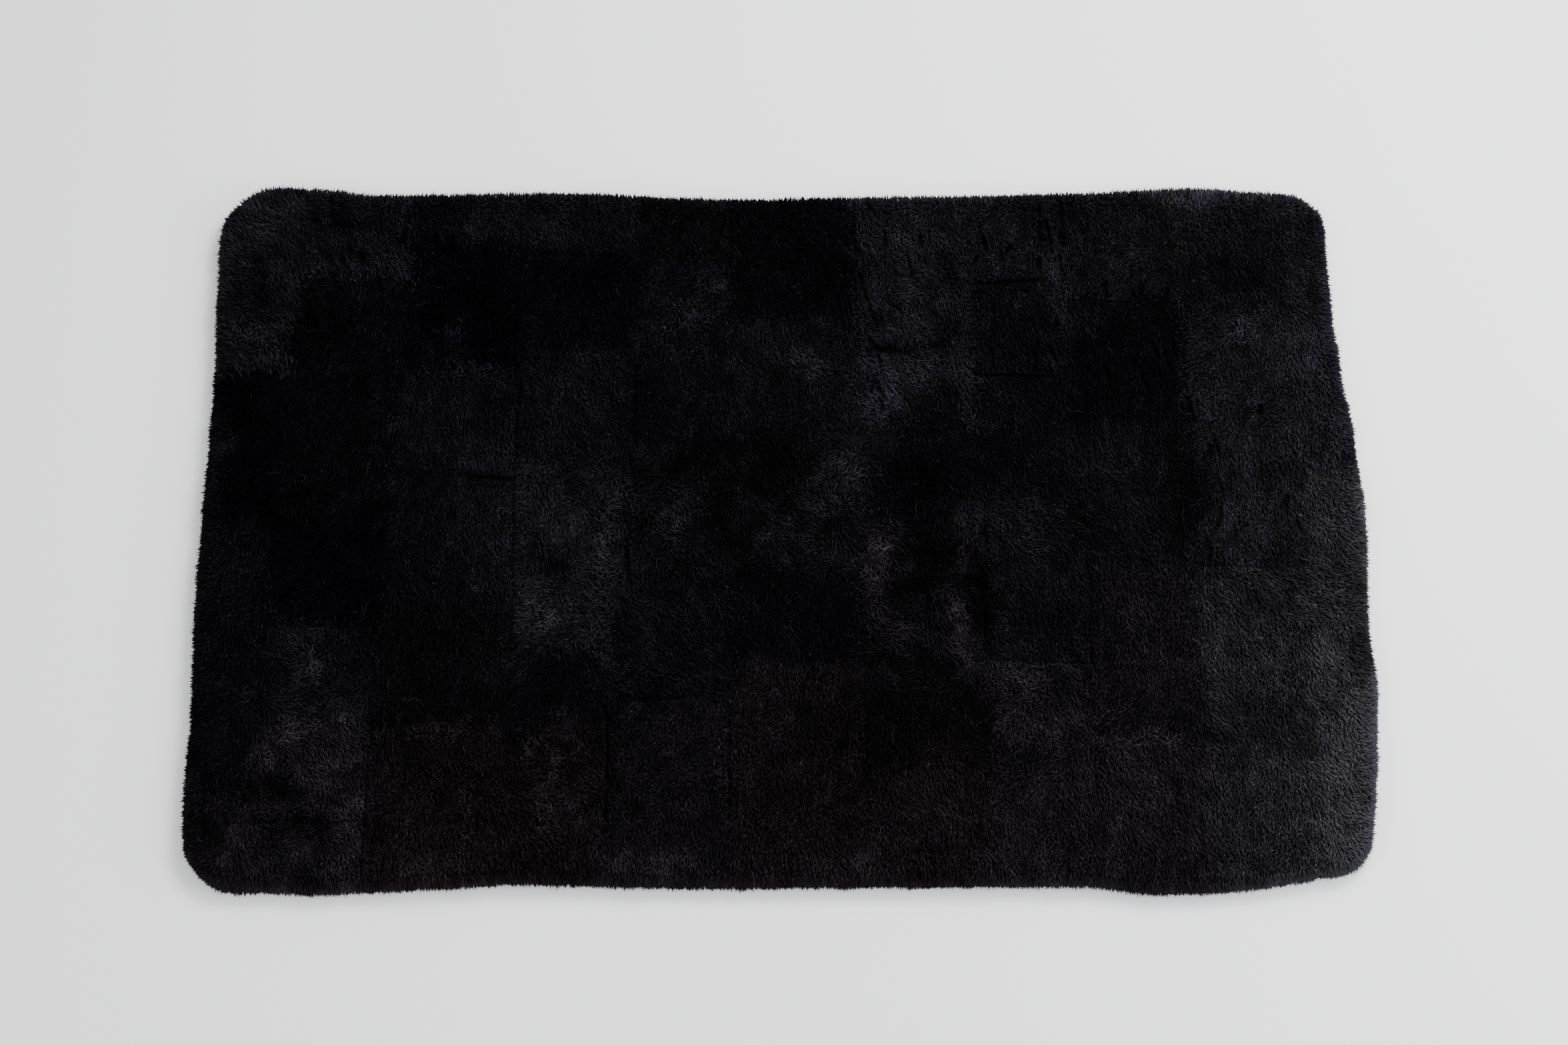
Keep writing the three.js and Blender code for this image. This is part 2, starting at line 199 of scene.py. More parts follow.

# Places where the wool has been brushed up or pressed: middle, half sizes along and across, the turn of
# the long side, the gain in light, and the way the wool was swept. The gain is painted sheen where it is
# above 1 and painted shade where it is below, and the wide place at the right front is a painted haze of
# light.
BRUSHED = [
    (-585, 385, 46, 26, 40, 1.6, 135), (-560, 275, 36, 26, 60, 0.5, 280), (-560, 215, 36, 14, -35, 1.6, 320),
    (-594, 90, 14, 86, 0, 3.2, 180), (-560, 100, 34, 60, 0, 0.8, 265), (-496, 361, 24, 10, 0, 0.42, 200),
    (-460, 285, 60, 26, 0, 2.0, 285), (-434, 110, 75, 8, 90, 1.8, 262), (-355, 222, 34, 12, 85, 2.5, 80),
    (-345, 183, 52, 7, -3, 1.5, 90), (-345, 75, 50, 12, 0, 1.25, 270), (-482, -157, 46, 9, 87, 2.0, 95),
    (500, 396, 110, 12, 0, 1.5, 90), (-505, -245, 34, 14, 35, 1.6, 60), (-472, -275, 20, 13, 20, 1.8, 330),
    (-445, -318, 20, 12, -30, 1.8, 300), (-552, -352, 30, 14, 75, 2.0, 225),
    (-437, -362, 26, 16, 80, 1.8, 280), (-512, -290, 20, 14, 20, 0.45, 200),
    (-500, -335, 22, 12, 0, 0.5, 250), (-545, -300, 18, 12, 80, 0.6, 230), (-348, -235, 40, 10, 10, 1.8, 60),
    (-322, -330, 60, 9, 88, 1.6, 85), (-346, -385, 46, 10, 0, 1.6, 265), (-186, -5, 78, 13, 77, 1.75, 60),
    (-241, -100, 24, 11, -8, 2.8, 340), (-196, -125, 32, 14, 80, 1.8, 45), (-240, -40, 26, 18, 0, 0.75, 250),
    (-238, -300, 62, 13, 88, 2.0, 80), (-262, -255, 30, 8, 90, 1.7, 85), (-78, 278, 22, 16, 20, 1.45, 50),
    (-112, 240, 28, 28, 0, 1.35, 60), (-95, 72, 36, 20, 35, 0.28, 250), (-70, 20, 46, 13, 88, 0.3, 262),
    (-108, 5, 32, 20, 80, 1.9, 75), (-75, -55, 70, 16, 0, 0.6, 270), (-60, -272, 56, 6, 88, 1.7, 80),
    (-120, -380, 60, 11, 0, 1.6, 260), (26, 183, 34, 16, -18, 2.4, 350), (-12, 72, 38, 36, 0, 0.2, 265),
    (50, 50, 50, 20, 88, 1.4, 75), (72, 48, 28, 10, 85, 1.7, 60), (0, 2, 27, 25, 20, 2.3, 40),
    (-45, -5, 40, 16, 90, 0.5, 262), (0, -394, 580, 36, 0, 1.35, 268), (176, 312, 26, 20, 80, 0.38, 285),
    (172, 218, 24, 16, 70, 0.36, 300), (114, 209, 17, 6, -15, 0.25, 240), (130, 345, 36, 26, 0, 1.2, 300),
    (126, 240, 18, 16, 0, 1.4, 320), (108, 142, 28, 20, 70, 1.6, 315), (162, 133, 30, 28, 20, 0.25, 290),
    (140, 40, 50, 46, 25, 0.3, 255), (100, -35, 52, 20, 80, 1.6, 60), (146, -55, 46, 24, 85, 0.3, 265),
    (187, -5, 36, 14, 85, 2.2, 300), (182, -120, 50, 12, -84, 2.4, 290), (110, -120, 24, 14, 20, 1.6, 20),
    (293, 285, 70, 12, 90, 2.0, 280), (245, 290, 30, 9, 4, 0.45, 270), (296, 200, 14, 9, -40, 1.9, 300),
    (254, 5, 40, 14, 85, 1.7, 80), (204, -85, 54, 12, 90, 0.28, 265), (258, -182, 50, 22, 0, 1.6, 50),
    (282, -185, 22, 13, 90, 0.55, 265), (265, -252, 14, 13, 0, 1.8, 20), (322, 246, 26, 20, 40, 2.2, 285),
    (345, 75, 44, 26, 80, 1.4, 285), (432, 30, 62, 30, 80, 0.42, 265), (455, 386, 52, 15, 0, 2.0, 80),
    (382, -246, 42, 5, -8, 1.6, 90), (492, 219, 18, 14, 80, 1.7, 60), (500, 300, 36, 26, 0, 0.7, 270),
    (592, 5, 46, 16, 90, 1.8, 350), (590, -85, 34, 18, 90, 0.65, 320), (584, -152, 30, 17, 80, 0.45, 320),
    (586, -232, 36, 20, 80, 1.7, 330), (610, -330, 110, 160, 0, 1.75, 300),
]

# Zones where the wool lies in swirls: middle, half sizes, and how strongly
SWIRLED = [
    (-490, -310, 75, 100, 1.0), (130, 290, 55, 110, 0.6), (-230, -60, 55, 100, 0.7), (0, 20, 95, 90, 0.6),
    (130, -80, 60, 110, 0.8), (-235, -300, 40, 80, 0.8), (575, -230, 45, 150, 0.5), (270, -210, 80, 60, 0.5),
    (-560, 290, 55, 110, 0.3), (-340, 210, 60, 40, 0.5), (190, -110, 30, 90, 0.7), (-500, -180, 50, 50, 0.6),
]

# Seams that have opened into a visible furrow: x and y of both ends, and how deep it is
OPEN_SEAMS = [
    (-288, 392, -287, 200, 1.2), (-283, 165, -279, -140, 2.0), (-422, -190, -424, -390, 1.5),
    (-158, 186, -160, 98, 3.4), (-162, 84, -156, 38, 2.6), (-163, -28, -160, -68, 3.6),
    (-180, -215, -181, -330, 2.6), (-56, -206, -55, -325, 1.4), (-62, 392, -55, 345, 2.0),
    (75, 392, 77, 200, 1.8), (84, -120, 86, -330, 1.2), (301, 384, 303, 336, 3.0),
    (200, -20, 210, -150, 2.0), (318, -60, 316, -155, 2.0), (431, 246, 430, -10, 1.2),
    (-340, 58, -284, 52, 3.4), (-270, 327, -178, 322, 1.6), (202, 286, 280, 293, 3.0),
    (200, 177, 290, 175, 2.6), (-150, -199, -95, -196, 2.4), (434, -46, 520, -50, 2.0),
    (-535, -332, -430, -330, 1.2), (-540, -113, -432, -118, 1.2), (320, -158, 210, -154, 1.4),
    (92, 205, 130, 203, 3.0), (-515, 362, -470, 358, 2.0),
]

# Where short partings show: middle, half sizes, how many, their heading and typical length
PARTED = [
    (120, 330, 42, 55, 9, 98, 24), (130, 245, 45, 35, 5, 105, 20), (250, 345, 46, 40, 12, 84, 20),
    (290, 330, 18, 50, 5, 94, 22), (380, 230, 44, 70, 9, 93, 28), (400, 170, 24, 40, 5, 100, 30),
    (-60, 360, 40, 32, 5, 72, 20), (-20, 300, 40, 40, 3, 85, 18), (-440, 345, 70, 36, 14, 92, 17),
    (90, 150, 14, 60, 5, 92, 24), (-470, 280, 60, 50, 9, 82, 16), (445, 60, 14, 100, 8, 92, 18),
    (520, 60, 16, 90, 4, 94, 16), (190, -40, 20, 60, 5, 85, 20), (-250, 300, 50, 30, 3, 95, 14),
    (250, 230, 44, 40, 5, 88, 18), (-345, 340, 45, 36, 4, 80, 16),
]

# A parting strays from its group's heading and bends at its middle, by so many degrees. Its length is a
# share of the group's, and its depth is in millimetres.
PARTING_TURN = 11
PARTING_BEND = 20
PARTING_SHARES = (0.45, 1.25)
PARTING_DEPTHS = (2.5, 4.5)

# Furrows in the wool's top, as depth and half width: along a strip's seam, along a cross seam, and the share
# of its depth and the half width that an open seam has
SEAM_FURROW = (1.0, 5)
CROSS_FURROW = (0.7, 5)
OPEN_SEAM_SHARE, OPEN_SEAM_HALF_WIDTH = 0.6, 4.0

# In the wool a seam sways a little from side to side, and a cross seam is drawn to the front where it
# meets one
SEAM_SWAY = 3
SWAY_LENGTH = 260
SWAY_OFFSET = 3
CROSS_SEAM_SAG, SAG_HALF_WIDTH = 12, 8

# Soft noise in layers of height, size in millimetres and seed: the borders between skins and those of the
# brushed places, the wool's lumps, and how unevenly the locks lean, grow and took the dye
SKIN_BORDER_X = [(3, 9, 3), (4, 34, 5)]
SKIN_BORDER_Y = [(3, 9, 4), (6, 34, 6)]
BRUSHED_BORDER_X = [(9, 34, 31), (5, 13, 33), (3, 6, 35)]
BRUSHED_BORDER_Y = [(9, 34, 32), (5, 13, 34), (3, 6, 36)]
LUMPS = [(0.9, 120, 21), (0.9, 46, 22), (0.6, 17, 23)]
UNEVEN_LEAN = [(10, 30, 43), (12, 9, 44)]
UNEVEN_LENGTH = [(0.12, 14, 45)]
UNEVEN_DYE = [(0.2, 70, 56)]

# Layers that grow where the wool lies in swirls: height, height added in a full swirl, size and seed. The
# first are the nap's turns, and the second are painted clouds of sheen and shade in the nap.
NAP_TURNS = [(24, 0, 62, 41), (22, 110, 25, 42)]
PAINTED_SHEEN_CLOUDS = [(0.35, 0, 75, 53), (0.16, 0.42, 24, 54), (0.18, 0.3, 10, 55)]

# Streaks of painted sheen and shade along the nap, from tufts and from whole locks: strength, width, reach
# and seed. Each is noise added up at so many steps along the nap.
PAINTED_SHEEN_STREAKS = [(0.2, 2.6, 13, 51), (0.12, 7.5, 26, 52)]
STREAK_STEPS = 7

# How much more lumpy a swirl is, and how much the lumps calm down at the rim
SWIRL_LUMPS = 0.8
CALMED_AT_RIM = 0.75

# The higher this power, the fuller a brushed place is and the more sharply it ends. It turns the nap by
# this share.
BRUSHED_POWER = 1.3
SWEPT_SHARE = 0.6

# Painted shade in an open seam and in a parting's slit: how much of the light is taken off for each
# millimetre of depth, over what half width, and how near to a slit's middle that is worked out
SEAM_SHADOW, SEAM_SHADOW_WIDTH = 0.16, 2.2
SLIT_SHADOW, SLIT_SHADOW_WIDTH = 0.2, 1.5
SLIT_REACH = 30

# The wool has a painted sheen at the rim that makes it lighter by this share, and its light stays between
# these shares of a plain skin's
PAINTED_RIM_SHEEN = 0.45
LIGHT_RANGE = (0.15, 6.5)

# Over how many millimetres the locks of neighbouring skins mix, and the share of light left by the painted
# shade between the locks
LOCKS_MIX = 5.5
BED_PAINTED_SHADE = 0.45

# The blacks that the skins were dyed, and how much of a dye's own lightness is left in wool dyed so deep
DYE_HEX = {"brown": "2b2629", "plum": "2a262a", "violet": "29262e", "blue": "272632", "black": "27262d",
           "green": "27262a"}
DYES = list(DYE_HEX)
DEEP_DYED = 0.275

# The colour chart that the wool's UV map points into: along it the light goes from DARKEST to LIGHTEST by
# equal ratios, and across it the dye goes through DYES
CHART_MAP = "OFBake"
DARKEST, LIGHTEST = 0.01, 4.0
CHART_MARGIN = 0.01
UNDERSIDE_ON_CHART = (0.2, 0.3)

# A lock's painted light at its root, at both sides of its bend and at its tip: painted shade at the root and
# a painted highlight at the tip. A few locks get a painted glint, most don't, and the deeper the dye, the
# more each lock shows by itself.
LOCK_PAINTED_LIGHT = np.array([0.6, 0.95, 0.95, 1.3])
LOCK_CONTRAST_POWER = -0.33
LOCK_CONTRASTS = (0.5, 1.7)
LOCKS_DIFFER = 0.26
PAINTED_GLINT_SHARE, PAINTED_GLINT = 0.02, 0.6

# Single hairs are too fine to show, so the wool's grain is drawn as tufts of hairs: how wide they are, how
# much they differ from each other in light, and how deep the grain is
HAIR_GRAIN = 0.6
HAIR_CONTRAST = 1.9
HAIR_BUMP = 0.2

# Stray fibres on the black wool: curly ones that catch the eye, with place, length, turn and how much they
# curl. Then fine long hairs and short specks: how many, from and to what length and curl, and their radius.
# All are a few times thicker than real ones, which wouldn't show.
CURLY_LINT = [(-497, 361, 34, 0, 0.8), (526, -374, 30, 190, 0.75), (396, -347, 11, 170, 0.4)]
CURLY_RADIUS = 0.15
STREWN_LINT = [(220, (9, 26), (0.1, 0.5), 0.06), (50, (2, 6), (0, 0.25), 0.08)]
LINT_X, LINT_Y = (-580, 580), (-375, 385)
LINT_RINGS = 13
LINT_TAPER = 0.8

# A fibre swings from side to side along its way, and its length sets where in the swing it starts. It lies
# a little above the tips of the locks and ripples up and down.
LINT_SWING, LINT_SWINGS, LINT_SWING_START = 2.2, 3.4, 0.05
LINT_LIFT, LINT_RIPPLE, LINT_RIPPLES = 0.4, 0.3, 9

# Suede: how wide its mottles are and the tufts of its nap, drawn coarser than real so that they show, how
# deep the nap is, how much mottles and nap change the tone, and between what limits each skin's own tone lies
SUEDE_MOTTLE = 45
SUEDE_NAP = 0.8
SUEDE_BUMP = 0.3
MOTTLE_SHARE, NAP_SHARE = 0.5, 0.3
SUEDE_TONES = (-0.15, 0.3)

# Suede side: the groove along each seam, and the furrier's overcast thread in it, which ends short of the
# blanket's rim and of the seam that a cross seam meets
SEAM_WIDTH = 2.4
SEAM_DEPTH = 0.5
STITCH_SPACING = 4.6
STITCH_LENGTH = 3.0
STITCH_SLANT = 38.0
STITCHES_END = 14
CROSS_STITCHES_END = 2
THREAD_RADIUS = 0.2
THREAD_SUNK = 1.1 * THREAD_RADIUS

# The hide's outline has a point at every step of a side, and so many round each corner
HIDE_RIM_STEP = 24
HIDE_ARC_POINTS = 13

# Threads and fibres are three-sided, with corners at these turns
THREE_SIDES = [math.radians(turn) for turn in (90, 210, 330)]

# Seeds of the random draws, so that every run gives the same blanket
PARTING_SEED, LOCK_SEED, MIX_SEED, SUEDE_SEED, LINT_SEED = 11, 5, 6, 8, 17


def eased(rows, at):
    """A table of (place, value) read at many places, going smoothly from each row to the next."""
    places = np.array([row[0] for row in rows], float)
    values = np.array([row[1] for row in rows], float)
    k = np.clip(np.searchsorted(places, at) - 1, 0, len(rows) - 2)
    share = np.clip((at - places[k]) / (places[k + 1] - places[k]), 0, 1)
    share = share * share * (3 - 2 * share)
    return values[k] + (values[k + 1] - values[k]) * share


def fade(value, start=0, end=1):
    """Smoothly 1 at the start and before it, and 0 at the end and beyond it."""
    share = np.clip((value - start) / (end - start), 0, 1)
    return 1 - share * share * (3 - 2 * share)


# Soft noise repeats after so many bumps, which is farther than the blanket is wide
NOISE_CELLS = 512


def soft_noise(x, y, size, seed):
    """Smooth bumps from -1 to 1, about that many millimetres across, the same on every run."""
    knots = np.random.default_rng(seed).uniform(-1, 1, (NOISE_CELLS, NOISE_CELLS))
    u, v = x / size + NOISE_CELLS / 2, y / size + NOISE_CELLS / 2
    i, j = np.floor(u).astype(int), np.floor(v).astype(int)
    su, sv = u - i, v - j
    su, sv = su * su * (3 - 2 * su), sv * sv * (3 - 2 * sv)
    i0, j0, i1, j1 = i % NOISE_CELLS, j % NOISE_CELLS, (i + 1) % NOISE_CELLS, (j + 1) % NOISE_CELLS
    low = knots[i0, j0] * (1 - su) + knots[i1, j0] * su
    high = knots[i0, j1] * (1 - su) + knots[i1, j1] * su
    return low * (1 - sv) + high * sv


def layered(x, y, layers, start=0.0):
    """Soft noise of several sizes on top of a start. Each layer has a height, a size and a seed."""
    return sum((height * soft_noise(x, y, size, seed) for height, size, seed in layers), start)


def stirred(layers, swirl):
    """The same layers, with the height that each of them has at so much swirl."""
    return [(height + added * swirl, size, seed) for height, added, size, seed in layers]


def combed_noise(x, y, way, width, reach, seed):
    """Noise drawn out along the nap into streaks about so wide and so long, with a spread of 1."""
    steps = np.linspace(-reach / 2, reach / 2, STREAK_STEPS)
    drawn = sum(soft_noise(x + way[:, 0] * step, y + way[:, 1] * step, width, seed) for step in steps)
    return drawn / drawn.std()


def rim_facts(x, y):
    """How far inside the plain rounded rectangle's rim each point is, and the way out, as two parts."""
    past_x, past_y = np.abs(x) - RIM_STRAIGHT_X, np.abs(y) - RIM_STRAIGHT_Y
    corner = (past_x > 0) & (past_y > 0)
    reach = np.hypot(np.maximum(past_x, 0), np.maximum(past_y, 0))
    inset = CORNER_RADIUS - np.where(corner, reach, np.maximum(past_x, past_y))
    safe = np.maximum(reach, TINY)
    side_on = past_x > past_y
    out_x = np.where(corner, past_x / safe, side_on.astype(float)) * np.sign(x)
    out_y = np.where(corner, past_y / safe, 1.0 - side_on) * np.sign(y)
    return inset, out_x, out_y


def edge_wander(x, y):
    """How far the real edge stands out from the plain one, nearest to each point."""
    along_x = np.clip(x, -RIM_STRAIGHT_X, RIM_STRAIGHT_X)
    along_y = np.clip(y, -RIM_STRAIGHT_Y, RIM_STRAIGHT_Y)
    level = np.where(y > 0, eased(EDGE_WANDER["back"], along_x), eased(EDGE_WANDER["front"], along_x))
    upright = np.where(x > 0, eased(EDGE_WANDER["right"], along_y), eased(EDGE_WANDER["left"], along_y))
    past_x, past_y = np.abs(x) - RIM_STRAIGHT_X, np.abs(y) - RIM_STRAIGHT_Y
    turn = np.arctan2(np.maximum(past_y, 0), np.maximum(past_x, 0))
    corner = (past_x > 0) & (past_y > 0)
    share = np.where(corner, turn / (math.pi / 2), past_y > past_x)
    return upright * (1 - share) + level * share


def moved_to_real_edge(x, y, inset, drawn_in=0.0):
    """Points moved outwards by the edge's wander, which fades away from the rim, and drawn in by so much."""
    _, out_x, out_y = rim_facts(x, y)
    shift = edge_wander(x, y) * fade(inset, 0, WANDER_FADE) - drawn_in
    return x + out_x * shift, y + out_y * shift


def seam_line(strip, y):
    """Where a strip's right-hand seam runs at each y, as cut and sewn: straight."""
    back, front = strip["seam"]
    return back + (front - back) * (DEPTH / 2 - y) / DEPTH


def wool_seams(y):
    """Where every seam between two strips runs in the wool at each y. No two of them sway alike."""
    seams = []
    for strip in STRIPS[:-1]:
        turn = 2 * math.pi * (y + SWAY_OFFSET * strip["seam"][0]) / SWAY_LENGTH
        seams.append(seam_line(strip, y) + SEAM_SWAY * np.sin(turn))
    return np.array(seams)


def furrow(distance, depth, half_width):
    """The depth of a soft-edged furrow, so far from its line."""
    return depth * np.exp(-((distance / half_width) ** 2))


def off_segment(x, y, x0, y0, x1, y1):
    """Distance of each point from a straight line's stretch, and the side of it that the point lies on."""
    dx, dy = x1 - x0, y1 - y0
    length = math.hypot(dx, dy)
    share = ((x - x0) * dx + (y - y0) * dy) / length ** 2
    side = ((x - x0) * dy - (y - y0) * dx) / length
    past = np.maximum(np.maximum(-share, share - 1), 0) * length
    return np.hypot(side, past), side


def near_middle(x, y, x0, y0, x1, y1, reach):
    """Which points are within reach of a stretch's middle, both across and along."""
    return (np.abs(x - (x0 + x1) / 2) < reach) & (np.abs(y - (y0 + y1) / 2) < reach)


def partings():
    """Short openings where the wool has split, each with a bend at its middle, as straight stretches."""
    rng = np.random.default_rng(PARTING_SEED)
    found = []
    for x, y, half_x, half_y, count, heading, length in PARTED:
        for _ in range(count):
            mid_x, mid_y = x + half_x * rng.uniform(-1, 1), y + half_y * rng.uniform(-1, 1)
            turn = math.radians(heading + rng.normal(0, PARTING_TURN))
            bend = math.radians(rng.normal(0, PARTING_BEND))
            half = length * rng.uniform(*PARTING_SHARES) / 2
            depth = rng.uniform(*PARTING_DEPTHS)
            for way in (turn, turn + math.pi + bend):
                end_x, end_y = mid_x + half * math.cos(way), mid_y + half * math.sin(way)
                found.append((mid_x, mid_y, end_x, end_y, depth))
    return found


SLITS = partings()


def skin_of(x, y):
    """The strip that each point is in, and its skin's shade, dye number and nap heading."""
    ragged_x = layered(x, y, SKIN_BORDER_X, x)
    seams = wool_seams(y)
    strip_number = (ragged_x > seams).sum(0)
    to_seam = np.abs(ragged_x - seams).min(0)
    sagged_y = layered(x, y, SKIN_BORDER_Y, y) + furrow(to_seam, CROSS_SEAM_SAG, SAG_HALF_WIDTH)
    shade, dye, heading = np.ones_like(x), np.zeros_like(x), np.zeros_like(x)
    for number, strip in enumerate(STRIPS):
        inside = strip_number == number
        ends, shades, dyes, headings = zip(*strip["skins"])
        row = (sagged_y[inside][:, None] < np.array(ends[:-1], float)).sum(1)
        steps = np.array([SHADES.index(word) - SHADES.index("plain") for word in shades], float)
        # A skin's shade: the depth of its dye together with the painted sheen or shade of its nap
        shade[inside] = SHADE_RATIO ** steps[row]
        dye[inside] = np.array([DYES.index(word) for word in dyes])[row]
        heading[inside] = np.array(headings, float)[row]
    return strip_number, shade, dye, heading


def swirls(x, y):
    """From 0 to 1, how much the wool lies in swirls."""
    total = np.zeros_like(x)
    for mid_x, mid_y, half_x, half_y, strength in SWIRLED:
        total += strength * np.exp(-(((x - mid_x) / half_x) ** 2) - ((y - mid_y) / half_y) ** 2)
    return np.clip(total, 0, 1)


def brushed(x, y, way):
    """The painted sheen and shade, as a gain in light, and the nap's way, once the brushed places are put in.
    """
    painted_sheen_and_shade, way = np.zeros_like(x), way.copy()
    ragged_x = layered(x, y, BRUSHED_BORDER_X, x)
    ragged_y = layered(x, y, BRUSHED_BORDER_Y, y)
    for mid_x, mid_y, half_long, half_wide, turn, light, sweep in BRUSHED:
        c, s = math.cos(math.radians(turn)), math.sin(math.radians(turn))
        along = ((ragged_x - mid_x) * c + (ragged_y - mid_y) * s) / half_long
        across = (-(ragged_x - mid_x) * s + (ragged_y - mid_y) * c) / half_wide
        weight = np.exp(-(along ** 2 + across ** 2) ** BRUSHED_POWER)
        # A brushed place's painted sheen, or its painted shade where its light is below 1
        painted_sheen_and_shade += math.log(light) * weight
        swept = np.array([math.cos(math.radians(sweep)), math.sin(math.radians(sweep))])
        way += (swept - way) * (SWEPT_SHARE * weight)[:, None]
    return np.exp(painted_sheen_and_shade), way


def wool_height(x, y):
    """How far the wool's top stands above or below its mean, with its lumps, seams and open seams."""
    inset = rim_facts(x, y)[0]
    height = layered(x, y, LUMPS) * (1 + SWIRL_LUMPS * swirls(x, y))
    seams = wool_seams(y)
    height -= furrow(np.abs(x - seams).min(0), *SEAM_FURROW)
    strip_number = (x > seams).sum(0)
    for number, strip in enumerate(STRIPS):
        inside = strip_number == number
        for skin in strip["skins"][:-1]:
            height[inside] -= furrow(y[inside] - skin[0], *CROSS_FURROW)
    for x0, y0, x1, y1, depth in OPEN_SEAMS:
        near = off_segment(x, y, x0, y0, x1, y1)[0]
        height -= furrow(near, OPEN_SEAM_SHARE * depth, OPEN_SEAM_HALF_WIDTH)
    return height * (1 - CALMED_AT_RIM * fade(inset, *RIM_CALM))


def roll_over(x, y, top):
    """Points of the flat blanket laid on the wool's dense body, which rolls over at the rim.
    Gives their places, the body's outward and downhill directions there, and how far round they are."""
    inset, out_x, out_y = rim_facts(x, y)
    turn = np.clip((ROLL_RADIUS - (inset - BED_INSET)) / ROLL_RADIUS, 0, None)
    round_it = np.minimum(turn, math.pi / 2)
    beyond = np.maximum(turn - math.pi / 2, 0) * ROLL_RADIUS
    drawn_in = np.where(turn > 0, BED_INSET + ROLL_RADIUS * (1 - np.sin(round_it)) - inset, 0)
    height = np.maximum(top - ROLL_RADIUS * (1 - np.cos(round_it)) - beyond, BED_FLOOR)
    place = np.stack([*moved_to_real_edge(x, y, inset, drawn_in), height], 1)
    out = np.stack([out_x * np.sin(round_it), out_y * np.sin(round_it), np.cos(round_it)], 1)
    down = np.stack([out_x * np.cos(round_it), out_y * np.cos(round_it), -np.sin(round_it)], 1)
    return place, out, down, round_it, inset


def chart_place(light, dye):
    """Where a light and a dye stand on the colour chart."""
    u = np.log(np.maximum(light, LEAST_LIGHT) * DEEP_DYED / DARKEST) / math.log(LIGHTEST / DARKEST)
    v = (dye + 0.5) / len(DYES) + np.zeros_like(light)
    return np.stack([u, v], -1).clip(CHART_MARGIN, 1 - CHART_MARGIN)


def wool_look(x, y, blur):
    """Strip number, light, dye and nap way of the wool at each point. The light is the skins' shade with
    painted sheen and shade on it. The skins run into each other over about as many millimetres as blur says,
    because their wool mixes."""
    rng = np.random.default_rng(MIX_SEED)
    mixed_x, mixed_y = x + blur * rng.normal(0, 1, x.size), y + blur * rng.normal(0, 1, x.size)
    strip_number, shade, dye, heading = skin_of(mixed_x, mixed_y)
    swirl = swirls(x, y)
    heading = np.radians(layered(x, y, stirred(NAP_TURNS, swirl), heading))
    painted_sheen_and_shade, way = brushed(x, y, np.stack([np.cos(heading), np.sin(heading)], 1))
    # Painted clouds of sheen and shade in the nap
    clouds = layered(x, y, stirred(PAINTED_SHEEN_CLOUDS, swirl))
    # Painted streaks of sheen and shade along the nap
    for strength, width, reach, seed in PAINTED_SHEEN_STREAKS:
        clouds = clouds + strength * combed_noise(x, y, way, width, reach, seed)
    # The skins' shade, with the painted sheen and shade of the brushed places, clouds and streaks
    light = shade * painted_sheen_and_shade * np.exp(clouds)
    # Painted shade in the open seams and in the partings' slits
    for x0, y0, x1, y1, depth in OPEN_SEAMS:
        near = off_segment(x, y, x0, y0, x1, y1)[0]
        light *= 1 - SEAM_SHADOW * depth * furrow(near, 1, SEAM_SHADOW_WIDTH)
    for x0, y0, x1, y1, depth in SLITS:
        close = near_middle(x, y, x0, y0, x1, y1, SLIT_REACH)
        near = off_segment(x[close], y[close], x0, y0, x1, y1)[0]
        light[close] *= 1 - SLIT_SHADOW * depth * furrow(near, 1, SLIT_SHADOW_WIDTH)
    # Painted sheen along the rim: the wool's colour is made lighter there
    light *= 1 + PAINTED_RIM_SHEEN * fade(rim_facts(x, y)[0], *PAINTED_RIM_SHEEN_SPAN)
    return strip_number, light.clip(*LIGHT_RANGE), dye, way


def linear(hex_colour):
    """An sRGB hex colour as the linear red, green, blue and alpha that shaders take."""
    parts = [int(hex_colour[i:i + 2], 16) / 255 for i in (0, 2, 4)]
    return (*[p / 12.92 if p <= 0.04045 else ((p + 0.055) / 1.055) ** 2.4 for p in parts], 1.0)


def add(tree, kind, settings=None, **links):
    """Adds a node: settings by attribute name, and inputs by name or number, as values or as sockets."""
    node = tree.nodes.new(kind)
    for name, value in (settings or {}).items():
        setattr(node, name, value)
    for name, value in links.items():
        key = int(name[1:]) if name[0] == "i" and name[1:].isdigit() else name.replace("_", " ")
        if isinstance(value, bpy.types.NodeSocket):
            tree.links.new(value, node.inputs[key])
        else:
            node.inputs[key].default_value = value
    return node


def new_material(name, roughness, ior, specular):
    """A material with only a Principled shader, its node tree, and that shader."""
    material = bpy.data.materials.new(name)
    material.use_nodes = True
    tree = material.node_tree
    tree.nodes.clear()
    shader = add(tree, "ShaderNodeBsdfPrincipled", Roughness=roughness, IOR=ior, Specular_IOR_Level=specular)
    output = add(tree, "ShaderNodeOutputMaterial")
    tree.links.new(shader.outputs["BSDF"], output.inputs["Surface"])
    return material, tree, shader


